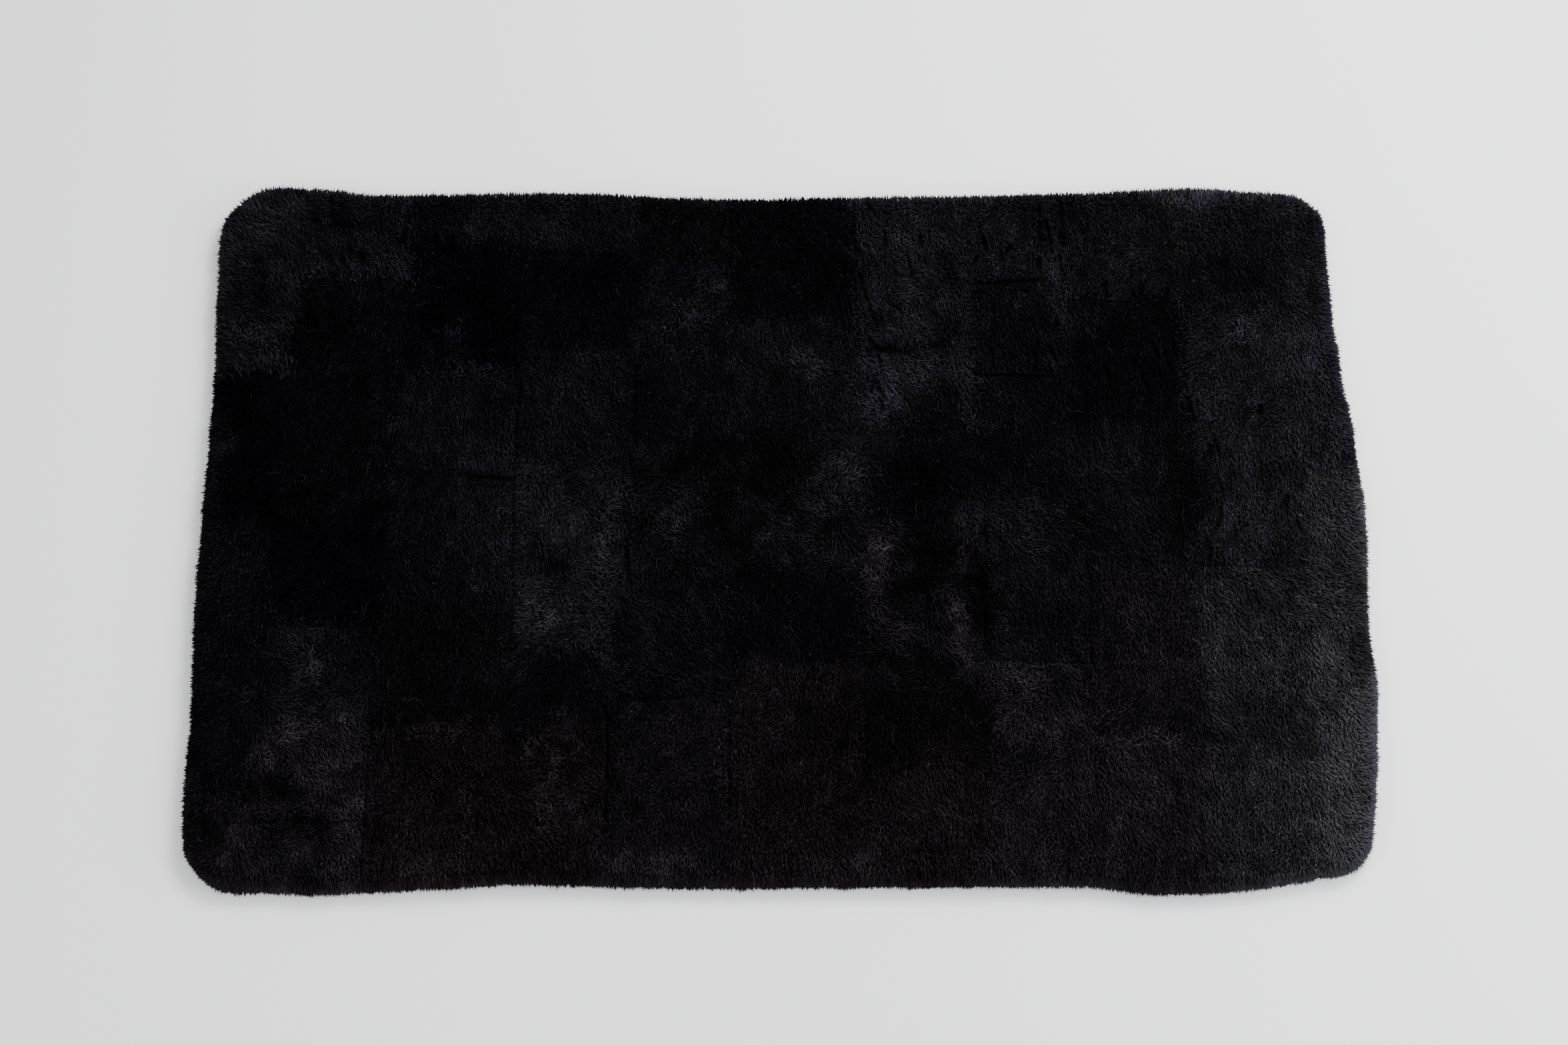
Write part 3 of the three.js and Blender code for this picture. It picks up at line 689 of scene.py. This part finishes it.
def clipped_wool():
    """Lambskin wool, dyed black and clipped: each hair has painted shade at its root and a painted highlight
    at its tip.
    Wool keratin has an IOR of 1.55. The hair's scales scatter light, so its gloss is low and wide."""
    material, tree, shader = new_material(
        "lambskin wool, dyed black and clipped", roughness=0.7, ior=1.55, specular=0.01)
    chart = add(tree, "ShaderNodeUVMap", {"uv_map": CHART_MAP})
    split = add(tree, "ShaderNodeSeparateXYZ", Vector=chart.outputs["UV"])
    power = add(tree, "ShaderNodeMath", {"operation": "POWER"}, i0=LIGHTEST / DARKEST, i1=split.outputs["X"])
    shade = add(tree, "ShaderNodeMath", {"operation": "MULTIPLY"}, i0=power.outputs[0], i1=DARKEST)
    dyes = add(tree, "ShaderNodeValToRGB", i0=split.outputs["Y"])
    ramp = dyes.color_ramp
    while len(ramp.elements) < len(DYES):
        ramp.elements.new(0.5)
    for k, dye in enumerate(DYES):
        ramp.elements[k].position = (k + 0.5) / len(DYES)
        ramp.elements[k].color = linear(DYE_HEX[dye])
    place = add(tree, "ShaderNodeTexCoord")
    hairs = add(tree, "ShaderNodeTexNoise",
                Vector=place.outputs["Object"], Scale=1 / (HAIR_GRAIN * MM), Detail=2.0)
    grain = add(tree, "ShaderNodeMath", {"operation": "MULTIPLY_ADD", "use_clamp": False},
                i0=hairs.outputs["Fac"], i1=HAIR_CONTRAST, i2=1 - HAIR_CONTRAST / 2)
    grainy = add(tree, "ShaderNodeMath", {"operation": "MULTIPLY"}, i0=shade.outputs[0], i1=grain.outputs[0])
    tinted = add(tree, "ShaderNodeVectorMath", {"operation": "SCALE"},
                 i0=dyes.outputs["Color"], Scale=grainy.outputs[0])
    bump = add(tree, "ShaderNodeBump", Height=hairs.outputs["Fac"], Strength=0.6, Distance=HAIR_BUMP * MM)
    tree.links.new(tinted.outputs[0], shader.inputs["Base Color"])
    tree.links.new(bump.outputs["Normal"], shader.inputs["Normal"])
    return material


def suede():
    """The skins' flesh side, dyed with the wool and buffed: a short soft nap, darker where it is rubbed.
    Leather's IOR is 1.5, and the nap leaves next to no gloss. Each skin took the dye a little differently."""
    material, tree, shader = new_material(
        "lambskin suede, dyed dark grey and buffed", roughness=0.92, ior=1.5, specular=0.12)
    place = add(tree, "ShaderNodeTexCoord")
    clouds = add(tree, "ShaderNodeTexNoise",
                 Vector=place.outputs["Object"], Scale=1 / (SUEDE_MOTTLE * MM), Detail=4.0)
    nap = add(tree, "ShaderNodeTexNoise",
              Vector=place.outputs["Object"], Scale=1 / (SUEDE_NAP * MM), Detail=3.0)
    skin = add(tree, "ShaderNodeAttribute", {"attribute_name": "skin_tone"})
    mottle = add(tree, "ShaderNodeMath", {"operation": "MULTIPLY_ADD"},
                 i0=clouds.outputs["Fac"], i1=MOTTLE_SHARE, i2=skin.outputs["Fac"])
    grain = add(tree, "ShaderNodeMath", {"operation": "MULTIPLY_ADD"},
                i0=nap.outputs["Fac"], i1=NAP_SHARE, i2=mottle.outputs[0])
    ramp = add(tree, "ShaderNodeValToRGB", i0=grain.outputs[0])
    ramp.color_ramp.elements[0].color = linear("242225")
    ramp.color_ramp.elements[1].color = linear("4a4649")
    bump = add(tree, "ShaderNodeBump", Height=nap.outputs["Fac"], Strength=0.5, Distance=SUEDE_BUMP * MM)
    tree.links.new(ramp.outputs["Color"], shader.inputs["Base Color"])
    tree.links.new(bump.outputs["Normal"], shader.inputs["Normal"])
    return material


def sewing_thread():
    """Polyester sewing thread, spun, dyed charcoal and waxed. Polyester's IOR is 1.57, and the wax gives the
    thread a low gloss against the dull suede."""
    material, _, shader = new_material(
        "sewing thread, spun polyester, waxed", roughness=0.5, ior=1.57, specular=0.4)
    shader.inputs["Base Color"].default_value = linear("3a383b")
    return material


def stray_fibre():
    """Fine grey fibres from other cloth, dull and thin against the black wool."""
    material, _, shader = new_material(
        "stray fibres, spun and dyed grey", roughness=0.6, ior=1.5, specular=0.3)
    shader.inputs["Base Color"].default_value = linear("4c4a50")
    return material


def mesh_object(name, mesh, material):
    """A mesh as a piece of the blanket, in its material and on the blanket's one body."""
    piece = bpy.data.objects.new(name, mesh)
    bpy.context.scene.collection.objects.link(piece)
    piece.data.materials.append(material)
    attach(piece, "root")
    return piece


def shift_to_frame():
    """How far to move the blanket, to bring its outline's middle to where the frame has the hide's."""
    rim_x = np.linspace(-RIM_STRAIGHT_X, RIM_STRAIGHT_X, SIDE_SAMPLES_X)
    rim_y = np.linspace(-RIM_STRAIGHT_Y, RIM_STRAIGHT_Y, SIDE_SAMPLES_Y)
    left = (-WIDTH / 2 - eased(EDGE_WANDER["left"], rim_y)).min()
    right = (WIDTH / 2 + eased(EDGE_WANDER["right"], rim_y)).max()
    front = (-DEPTH / 2 - eased(EDGE_WANDER["front"], rim_x)).min()
    back = (DEPTH / 2 + eased(EDGE_WANDER["back"], rim_x)).max()
    own_middle = (np.array([left, front]) + np.array([right, back])) / 2
    hide_low, hide_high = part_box("hide")
    frame_middle = (np.array(hide_low[:2]) + np.array(hide_high[:2])) / 2 / MM
    return np.array([*(frame_middle - own_middle), 0.0])


SHIFT = shift_to_frame()


def bed_grid(bm, count_x, count_y):
    """A grid over the flat blanket, closer at the rim, with its square corners drawn round."""
    bmesh.ops.create_grid(bm, x_segments=count_x, y_segments=count_y, size=1.0)
    bm.verts.ensure_lookup_table()
    points = np.array([vert.co[:2] for vert in bm.verts])
    points = BED_EVENNESS * points + (1 - BED_EVENNESS) * np.sin(points * math.pi / 2)
    half_x, half_y = WIDTH / 2 + UNROLLED, DEPTH / 2 + UNROLLED
    radius = CORNER_RADIUS + UNROLLED
    x, y = points[:, 0] * half_x, points[:, 1] * half_y
    a = np.clip((np.abs(x) - half_x + radius) / radius, 0, 1)
    b = np.clip((np.abs(y) - half_y + radius) / radius, 0, 1)
    round_a, round_b = a * np.sqrt(1 - b * b / 2), b * np.sqrt(1 - a * a / 2)
    x = np.sign(x) * (np.abs(x) + (round_a - a) * radius)
    y = np.sign(y) * (np.abs(y) + (round_b - b) * radius)
    return x, y


def make_bed(wool):
    """The wool's dense lower body: lumpy on top, rolled over at the rim, flat underneath."""
    bm = bmesh.new()
    x, y = bed_grid(bm, BED_COLUMNS, BED_ROWS)
    _, light, dye, _ = wool_look(x, y, 0)
    # Painted shade between the locks: the bed is painted darker than the wool over it
    spots = chart_place(BED_PAINTED_SHADE * light, dye)
    places = roll_over(x, y, BED_TOP - BED_SUNK + wool_height(x, y))[0] + SHIFT
    for vert, place in zip(bm.verts, places):
        vert.co = place * MM
    rim = [edge for edge in bm.edges if edge.is_boundary]
    lower = bmesh.ops.extrude_edge_only(bm, edges=rim)["geom"]
    lower_verts = [item for item in lower if isinstance(item, bmesh.types.BMVert)]
    middle = Vector(SHIFT * MM)
    for vert in lower_verts:
        inward = middle - vert.co
        inward.z = 0
        vert.co += inward.normalized() * BED_FOOT_INSET * MM
        vert.co.z = BED_FLOOR * MM
    lower_edges = [item for item in lower if isinstance(item, bmesh.types.BMEdge) and item.is_boundary]
    bmesh.ops.holes_fill(bm, edges=lower_edges, sides=0)
    bmesh.ops.recalc_face_normals(bm, faces=bm.faces)
    chart = bm.loops.layers.uv.new(CHART_MAP)
    bm.verts.index_update()
    for face in bm.faces:
        for loop in face.loops:
            number = loop.vert.index
            loop[chart].uv = spots[number] if number < len(spots) else UNDERSIDE_ON_CHART
    mesh = bpy.data.meshes.new("wool_bed")
    bm.to_mesh(mesh)
    bm.free()
    mesh.shade_smooth()
    return mesh_object("wool_bed", mesh, wool)


def joined_mesh(name, corners, faces, chart=None):
    """Many small closed shapes with the same faces as one mesh, and the colour chart's places if given."""
    count, per_shape = corners.shape[:2]
    indices = (np.array(faces)[None] + per_shape * np.arange(count)[:, None, None]).reshape(-1, 3)
    mesh = bpy.data.meshes.new(name)
    mesh.vertices.add(per_shape * count)
    mesh.vertices.foreach_set("co", (corners.reshape(-1, 3) * MM).astype(np.float32).ravel())
    mesh.loops.add(indices.size)
    mesh.loops.foreach_set("vertex_index", indices.astype(np.int32).ravel())
    mesh.polygons.add(len(indices))
    mesh.polygons.foreach_set("loop_start", np.arange(0, indices.size, 3, dtype=np.int32))
    if chart is not None:
        layer = mesh.uv_layers.new(name=CHART_MAP)
        layer.data.foreach_set("uv", chart.reshape(-1, 2)[indices.ravel()].astype(np.float32).ravel())
    mesh.update()
    mesh.validate()
    return mesh


def sown_points(rng, low, high):
    """Points strewn evenly over the flat, unrolled wool, so far inside the plain rim."""
    across = np.arange(-WIDTH / 2 - UNROLLED, WIDTH / 2 + UNROLLED, LOCK_SPACING)
    up = np.arange(-DEPTH / 2 - UNROLLED, DEPTH / 2 + UNROLLED, LOCK_SPACING)
    x, y = (part.ravel() for part in np.meshgrid(across, up))
    x = x + rng.uniform(-0.5, 0.5, x.size) * LOCK_SPACING
    y = y + rng.uniform(-0.5, 0.5, y.size) * LOCK_SPACING
    inset = rim_facts(x, y)[0]
    kept = (inset > low) & (inset < high)
    return x[kept], y[kept]


def lock_ways(rng, x, y, inset, way):
    """The nap's way at each lock: near the rim it leans out over it, and beside an opening it leans away."""
    out_x, out_y = rim_facts(x, y)[1:]
    to_rim = fade(inset, *OUTWARD_NAP)[:, None]
    way = way * (1 - TURNED_OUT * to_rim) + np.stack([out_x, out_y], 1) * TURNED_OUT * to_rim
    way += rng.normal(0, NAP_VARIES, way.shape)
    for x0, y0, x1, y1, depth in [*OPEN_SEAMS, *SLITS]:
        length = math.hypot(x1 - x0, y1 - y0)
        close = np.flatnonzero(near_middle(x, y, x0, y0, x1, y1, length / 2 + OPENING_REACH))
        near, side = off_segment(x[close], y[close], x0, y0, x1, y1)
        weight = fade(near, *BESIDE_OPENING) * min(1.0, depth / FULL_OPENING)
        away = np.stack([(y1 - y0) / length * np.sign(side), -(x1 - x0) / length * np.sign(side)], 1)
        way[close] += (away - way[close]) * (TURNED_AWAY * weight)[:, None]
    return way


def lock_levels(rng, way, out, down, round_it):
    """The nap's way along the body's surface, going over into straight down at the rim."""
    level = np.concatenate([way, np.zeros((len(way), 1))], 1)
    level -= out * (level * out).sum(1)[:, None]
    level /= np.linalg.norm(level, axis=1)[:, None] + TINY
    hang = fade(1 - round_it / FULLY_HUNG)[:, None]
    level = level * (1 - hang) + (down + rng.normal(0, HANG_VARIES, down.shape)) * hang
    return level / (np.linalg.norm(level, axis=1)[:, None] + TINY)


def lock_corners(rng, x, y, inset, way, place, out, down, round_it):
    """Every lock's root, both sides of its bend, and its tip."""
    count = x.size
    way = lock_ways(rng, x, y, inset, way)
    level = lock_levels(rng, way, out, down, round_it)
    side_on = round_it / (math.pi / 2)

    # Where the nap turns round it has next to no way, and the wool stands up
    upright = np.linalg.norm(way, axis=1).clip(0, 1)
    mean_lean = LEAN + (LEAN_AT_RIM - LEAN) * side_on
    uneven = layered(x, y, UNEVEN_LEAN) + rng.normal(0, LEAN_VARIES, count)
    lean = np.radians((mean_lean + uneven) * (LEAST_LEAN_SHARE + (1 - LEAST_LEAN_SHARE) * upright))

    def toward(angle):
        return out * np.cos(angle)[:, None] + level * np.sin(angle)[:, None]

    length = LOCK_LENGTH * (layered(x, y, UNEVEN_LENGTH, 1) + rng.normal(0, LENGTH_VARIES, count))
    length = (length * (1 - SHORTER_AT_RIM * side_on)).clip(*LOCK_LENGTHS)[:, None]
    root = place - out * LOCK_BURIED
    bend = root + toward((lean - BEND_BELOW).clip(*LEAN_BELOW)) * length * LOCK_BELLY
    tip = bend + toward((lean + BEND_ABOVE).clip(*LEAN_ABOVE)) * length * (1 - LOCK_BELLY)
    sideways = np.cross(out, level) + out * rng.normal(0, LOCK_TWIST, count)[:, None]
    width = LOCK_WIDTH * (1 + rng.normal(0, WIDTH_VARIES, count)).clip(*WIDTH_SHARES)[:, None]
    tip += sideways * rng.normal(0, TIP_STRAYS, count)[:, None]
    corners = np.stack([root, bend + sideways * width / 2, bend - sideways * width / 2, tip], 1) + SHIFT
    lowest = LOWEST_TIP + LOWEST_TIP_VARIES * rng.random((count, 4))
    corners[:, :, 2] = np.maximum(corners[:, :, 2], lowest)
    return corners


def lock_charts(rng, x, y, light, dye):
    """Where the corners of every lock stand on the colour chart, with painted shade, painted highlights and
    painted glints.
    """
    contrast = (light ** LOCK_CONTRAST_POWER).clip(*LOCK_CONTRASTS)
    differs = rng.normal(0, LOCKS_DIFFER, x.size)
    # A random difference per lock and a painted glint on a few, then painted shade at the root and a painted
    # highlight at the tip
    differs_and_glints = differs + np.where(rng.random(x.size) < PAINTED_GLINT_SHARE, PAINTED_GLINT, 0.0)
    shades = np.exp(differs_and_glints * contrast)[:, None] * LOCK_PAINTED_LIGHT[None] ** contrast[:, None]
    return chart_place(light[:, None] * shades, layered(x, y, UNEVEN_DYE, dye)[:, None])


# A lock's four faces, between its root, both sides of its bend and its tip
LOCK_FACES = [(0, 1, 2), (1, 3, 2), (0, 3, 1), (0, 2, 3)]


def make_locks(wool):
    """The clipped tips of the wool, a piece for each strip."""
    rng = np.random.default_rng(LOCK_SEED)
    x, y = sown_points(rng, -UNROLLED, WIDTH)
    edge_x, edge_y = sown_points(rng, -UNROLLED, SOWN_TWICE)
    x, y = np.concatenate([x, edge_x]), np.concatenate([y, edge_y])
    place, out, down, round_it, inset = roll_over(x, y, BED_TOP + wool_height(x, y))
    strip_number, light, dye, way = wool_look(x, y, LOCKS_MIX)
    corners = lock_corners(rng, x, y, inset, way, place, out, down, round_it)
    chart = lock_charts(rng, x, y, light, dye)
    pieces = []
    for number in range(len(STRIPS)):
        mine = strip_number == number
        name = f"wool_strip_{number + 1:02d}"
        pieces.append(mesh_object(name, joined_mesh(name, corners[mine], LOCK_FACES, chart[mine]), wool))
    return pieces


def rim_points(inset, step):
    """The real outline, so far in from the edge, anticlockwise from the front left corner."""
    half_x, half_y, radius = WIDTH / 2 - inset, DEPTH / 2 - inset, CORNER_RADIUS - inset
    turns = np.linspace(0, math.pi / 2, HIDE_ARC_POINTS)
    arc_x, arc_y = radius * np.sin(turns), -radius * np.cos(turns)
    side_x = np.arange(-RIM_STRAIGHT_X + step, RIM_STRAIGHT_X, step)
    side_y = np.arange(-RIM_STRAIGHT_Y + step, RIM_STRAIGHT_Y, step)
    x = np.concatenate([side_x, RIM_STRAIGHT_X + arc_x, 0 * side_y + half_x, RIM_STRAIGHT_X - arc_y,
                        -side_x, -RIM_STRAIGHT_X - arc_x, 0 * side_y - half_x, -RIM_STRAIGHT_X + arc_y])
    y = np.concatenate([0 * side_x - half_y, -RIM_STRAIGHT_Y + arc_y, side_y, RIM_STRAIGHT_Y + arc_x,
                        0 * side_x + half_y, RIM_STRAIGHT_Y - arc_y, -side_y, -RIM_STRAIGHT_Y - arc_x])
    return np.stack(moved_to_real_edge(x, y, inset), 1)


def strip_span(number, y, outer_end):
    """From where to where a strip reaches at y on the suede side, if the blanket ends at outer_end."""
    left = seam_line(STRIPS[number - 1], y) if number else -outer_end
    right = seam_line(STRIPS[number], y) if number < len(STRIPS) - 1 else outer_end
    return left, right


def cut_into_skins(bm):
    """Cuts the flat hide along the seams between strips, and each strip along its cross seams."""
    for strip in STRIPS[:-1]:
        back = Vector((seam_line(strip, DEPTH / 2), DEPTH / 2, 0)) + Vector(SHIFT)
        front = Vector((seam_line(strip, -DEPTH / 2), -DEPTH / 2, 0)) + Vector(SHIFT)
        across = (front - back).cross(Vector((0, 0, 1)))
        bmesh.ops.bisect_plane(bm, geom=[*bm.verts, *bm.edges, *bm.faces], plane_co=back, plane_no=across)
    for number, strip in enumerate(STRIPS):
        for skin in strip["skins"][:-1]:
            left, right = strip_span(number, skin[0], WIDTH)
            mine = [face for face in bm.faces
                    if left < face.calc_center_median_weighted().x - SHIFT[0] < right]
            edges = {edge for face in mine for edge in face.edges}
            verts = {vert for face in mine for vert in face.verts}
            bmesh.ops.bisect_plane(bm, geom=[*verts, *edges, *mine], plane_no=(0, 1, 0),
                                   plane_co=(0, skin[0] + SHIFT[1], 0))


def make_hide():
    """The suede side: the skins sewn edge to edge, each standing a little proud of the seams round it."""
    bm = bmesh.new()
    tone = bm.faces.layers.float.new("skin_tone")
    rim = rim_points(HIDE_INSET, HIDE_RIM_STEP) + SHIFT[:2]
    bm.faces.new([bm.verts.new((px, py, SEAM_DEPTH)) for px, py in rim])
    cut_into_skins(bm)
    lower = list(bm.faces)
    raised = bmesh.ops.extrude_face_region(bm, geom=lower, use_keep_orig=True)["geom"]
    bmesh.ops.translate(bm, verts=[item for item in raised if isinstance(item, bmesh.types.BMVert)],
                        vec=(0, 0, HIDE_THICKNESS - SEAM_DEPTH))
    bmesh.ops.recalc_face_normals(bm, faces=bm.faces)
    bmesh.ops.inset_individual(bm, faces=lower, thickness=SEAM_WIDTH / 2, depth=SEAM_DEPTH,
                               use_even_offset=True)
    rng = np.random.default_rng(SUEDE_SEED)
    for face in lower:
        face[tone] = rng.uniform(*SUEDE_TONES)
    bmesh.ops.triangulate(bm, faces=[face for face in bm.faces if len(face.verts) > 4])
    bmesh.ops.scale(bm, vec=(MM, MM, MM), verts=bm.verts)
    mesh = bpy.data.meshes.new("hide_skins")
    bm.to_mesh(mesh)
    bm.free()
    return mesh_object("hide_skins", mesh, suede())


# A stitch's eight faces: two triangular ends and three sides
PRISM_FACES = [(0, 1, 2), (3, 5, 4), (0, 3, 4), (0, 4, 1), (1, 4, 5), (1, 5, 2), (2, 5, 3), (2, 3, 0)]


def stitch_rows():
    """Both ends of every row of stitches: along each seam between strips, and along each cross seam."""
    rows = []
    last_y = DEPTH / 2 - STITCHES_END
    for number, strip in enumerate(STRIPS):
        if number < len(STRIPS) - 1:
            rows.append((seam_line(strip, last_y), last_y, seam_line(strip, -last_y), -last_y))
        for skin in strip["skins"][:-1]:
            left, right = strip_span(number, skin[0], WIDTH / 2 - STITCHES_END)
            rows.append((left + CROSS_STITCHES_END, skin[0], right - CROSS_STITCHES_END, skin[0]))
    return rows


def make_stitches():
    """Furrier's overcast stitches across every seam: short slanted lengths of thread, in the groove."""
    middles, ways = [], []
    for x0, y0, x1, y1 in stitch_rows():
        length = math.hypot(x1 - x0, y1 - y0)
        share = (np.arange(int(length / STITCH_SPACING)) + 0.5) * STITCH_SPACING / length
        middles.append(np.stack([x0 + (x1 - x0) * share, y0 + (y1 - y0) * share], 1))
        heading = math.atan2(y1 - y0, x1 - x0) + math.radians(STITCH_SLANT)
        ways.append(np.tile([math.cos(heading), math.sin(heading)], (len(share), 1)))
    middle, way = np.concatenate(middles), np.concatenate(ways)
    side = np.stack([-way[:, 1], way[:, 0]], 1)
    height = SEAM_DEPTH - THREAD_SUNK
    corners = []
    for end in (-1, 1):
        for turn in THREE_SIDES:
            flat = middle + way * end * STITCH_LENGTH / 2 + side * math.cos(turn) * THREAD_RADIUS
            level = np.full(len(flat), height + math.sin(turn) * THREAD_RADIUS)
            corners.append(np.column_stack([flat, level]))
    mesh = joined_mesh("seam_stitches", np.stack(corners, 1) + SHIFT, PRISM_FACES)
    return mesh_object("seam_stitches", mesh, sewing_thread())


def fibre_faces():
    """A fibre's faces: two triangular ends, and three sides between one ring of corners and the next."""
    faces = [(0, 2, 1), tuple(3 * (LINT_RINGS - 1) + k for k in (0, 1, 2))]
    for ring in range(LINT_RINGS - 1):
        for k in range(3):
            a, b = 3 * ring + k, 3 * ring + (k + 1) % 3
            faces += [(a, b, b + 3), (a, b + 3, a + 3)]
    return faces


def all_fibres():
    """Each fibre's place, length, turn, curl and radius: the curly ones as placed, the others at random."""
    rng = np.random.default_rng(LINT_SEED)
    fibres = [(*curly, CURLY_RADIUS) for curly in CURLY_LINT]
    for count, lengths, curls, radius in STREWN_LINT:
        for _ in range(count):
            drawn = [rng.uniform(*span) for span in (LINT_X, LINT_Y, lengths, (0, 360), curls)]
            fibres.append((*drawn, radius))
    return fibres


def make_lint():
    """Stray fibres lying on the wool: a few curly ones, fine long hairs, and short straight specks."""
    share = np.linspace(-0.5, 0.5, LINT_RINGS)
    corners = []
    for x, y, length, turn, curl, radius in all_fibres():
        swing = np.sin(share * LINT_SWINGS * math.pi + LINT_SWING_START * length)
        heading = math.radians(turn) + curl * LINT_SWING * swing
        path_x = np.cumsum(np.cos(heading)) * length / LINT_RINGS
        path_y = np.cumsum(np.sin(heading)) * length / LINT_RINGS
        path_x += x - path_x.mean()
        path_y += y - path_y.mean()
        ripple = LINT_RIPPLE * np.sin(share * LINT_RIPPLES)
        path_z = BED_TOP + wool_height(path_x, path_y) + TIP_STAND + LINT_LIFT + ripple
        middle = np.stack([path_x, path_y, path_z], 1)
        side = np.stack([-np.sin(heading), np.cos(heading), 0 * heading], 1)
        thin = radius * (1 - LINT_TAPER * np.abs(2 * share) ** 4)
        rings = [middle + (side * math.cos(corner) + np.array([0, 0, math.sin(corner)])) * thin[:, None]
                 for corner in THREE_SIDES]
        corners.append(np.stack(rings, 1).reshape(-1, 3))
    mesh = joined_mesh("stray_fibres", np.stack(corners) + SHIFT, fibre_faces())
    return mesh_object("stray_fibres", mesh, stray_fibre())


# Floor and softboxes, in metres and watts: where each softbox stands, where it is aimed, its width and
# height, its power and its colour
FLOOR_HALF_SIDE = 12.0
SURROUNDING_LIGHT = 0.82
SOFTBOXES = [
    ("softbox over the back right", (1.3, 1.5, 2.2), (0.1, 0, 0), (1.8, 1.2), 135, "ffffff"),
    ("softbox at the right", (2.5, -0.7, 1.4), (0.3, -0.1, 0), (2.2, 1.6), 95, "f8f9ff"),
    ("fill from the front left", (-1.8, -1.6, 2.2), (0, 0, 0), (1.6, 1.6), 46, "ffffff"),
]


def make_floor():
    """A plain pale floor, far wider than the view."""
    bm = bmesh.new()
    bmesh.ops.create_grid(bm, x_segments=1, y_segments=1, size=FLOOR_HALF_SIDE)
    mesh = bpy.data.meshes.new("floor")
    bm.to_mesh(mesh)
    bm.free()
    material, _, shader = new_material("plain pale floor", roughness=0.8, ior=1.45, specular=0.5)
    shader.inputs["Base Color"].default_value = linear("efeff0")
    floor = bpy.data.objects.new("floor", mesh)
    bpy.context.scene.collection.objects.link(floor)
    floor.data.materials.append(material)


def area_light(name, place, aim, size, power, colour):
    """A softbox that faces the place it is aimed at."""
    lamp = bpy.data.lights.new(name, "AREA")
    lamp.shape = "RECTANGLE"
    lamp.size, lamp.size_y = size
    lamp.energy = power
    lamp.color = linear(colour)[:3]
    holder = bpy.data.objects.new(name, lamp)
    bpy.context.scene.collection.objects.link(holder)
    holder.location = place
    holder.rotation_mode = "QUATERNION"
    holder.rotation_quaternion = (Vector(aim) - Vector(place)).to_track_quat("-Z", "Y")


def light_studio():
    """An even pale surrounding, and the softboxes."""
    world = bpy.data.worlds.new("soft studio")
    bpy.context.scene.world = world
    world.use_nodes = True
    sky = world.node_tree.nodes["Background"]
    sky.inputs["Color"].default_value = linear("f4f5f7")
    sky.inputs["Strength"].default_value = SURROUNDING_LIGHT
    for softbox in SOFTBOXES:
        area_light(*softbox)


# Photograph's view: a long lens looking down at 64.5 degrees, from so many metres away
CAMERA_ELEVATION = math.radians(64.5)
CAMERA_DISTANCE = 3.90
CAMERA_LENS = 85.6
CAMERA_SENSOR = 36.0
CAMERA_AIM_HEIGHT = 0.02
CAMERA_AIM = Vector((SHIFT[0] * MM, SHIFT[1] * MM, CAMERA_AIM_HEIGHT))


def add_camera():
    """The camera at the photograph's view of the blanket."""
    data = bpy.data.cameras.new("camera")
    data.lens = CAMERA_LENS
    data.sensor_width = CAMERA_SENSOR
    camera = bpy.data.objects.new("camera", data)
    bpy.context.scene.collection.objects.link(camera)
    back = Vector((0, -math.cos(CAMERA_ELEVATION), math.sin(CAMERA_ELEVATION)))
    camera.location = CAMERA_AIM + back * CAMERA_DISTANCE
    camera.rotation_mode = "QUATERNION"
    camera.rotation_quaternion = (-back).to_track_quat("-Z", "Y")
    bpy.context.scene.camera = camera


add_camera()
light_studio()
make_floor()

wool_material = clipped_wool()
bed = make_bed(wool_material)
strips = make_locks(wool_material)
hide = make_hide()
stitches = make_stitches()
make_lint()

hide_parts("fleece")
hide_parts("hide")
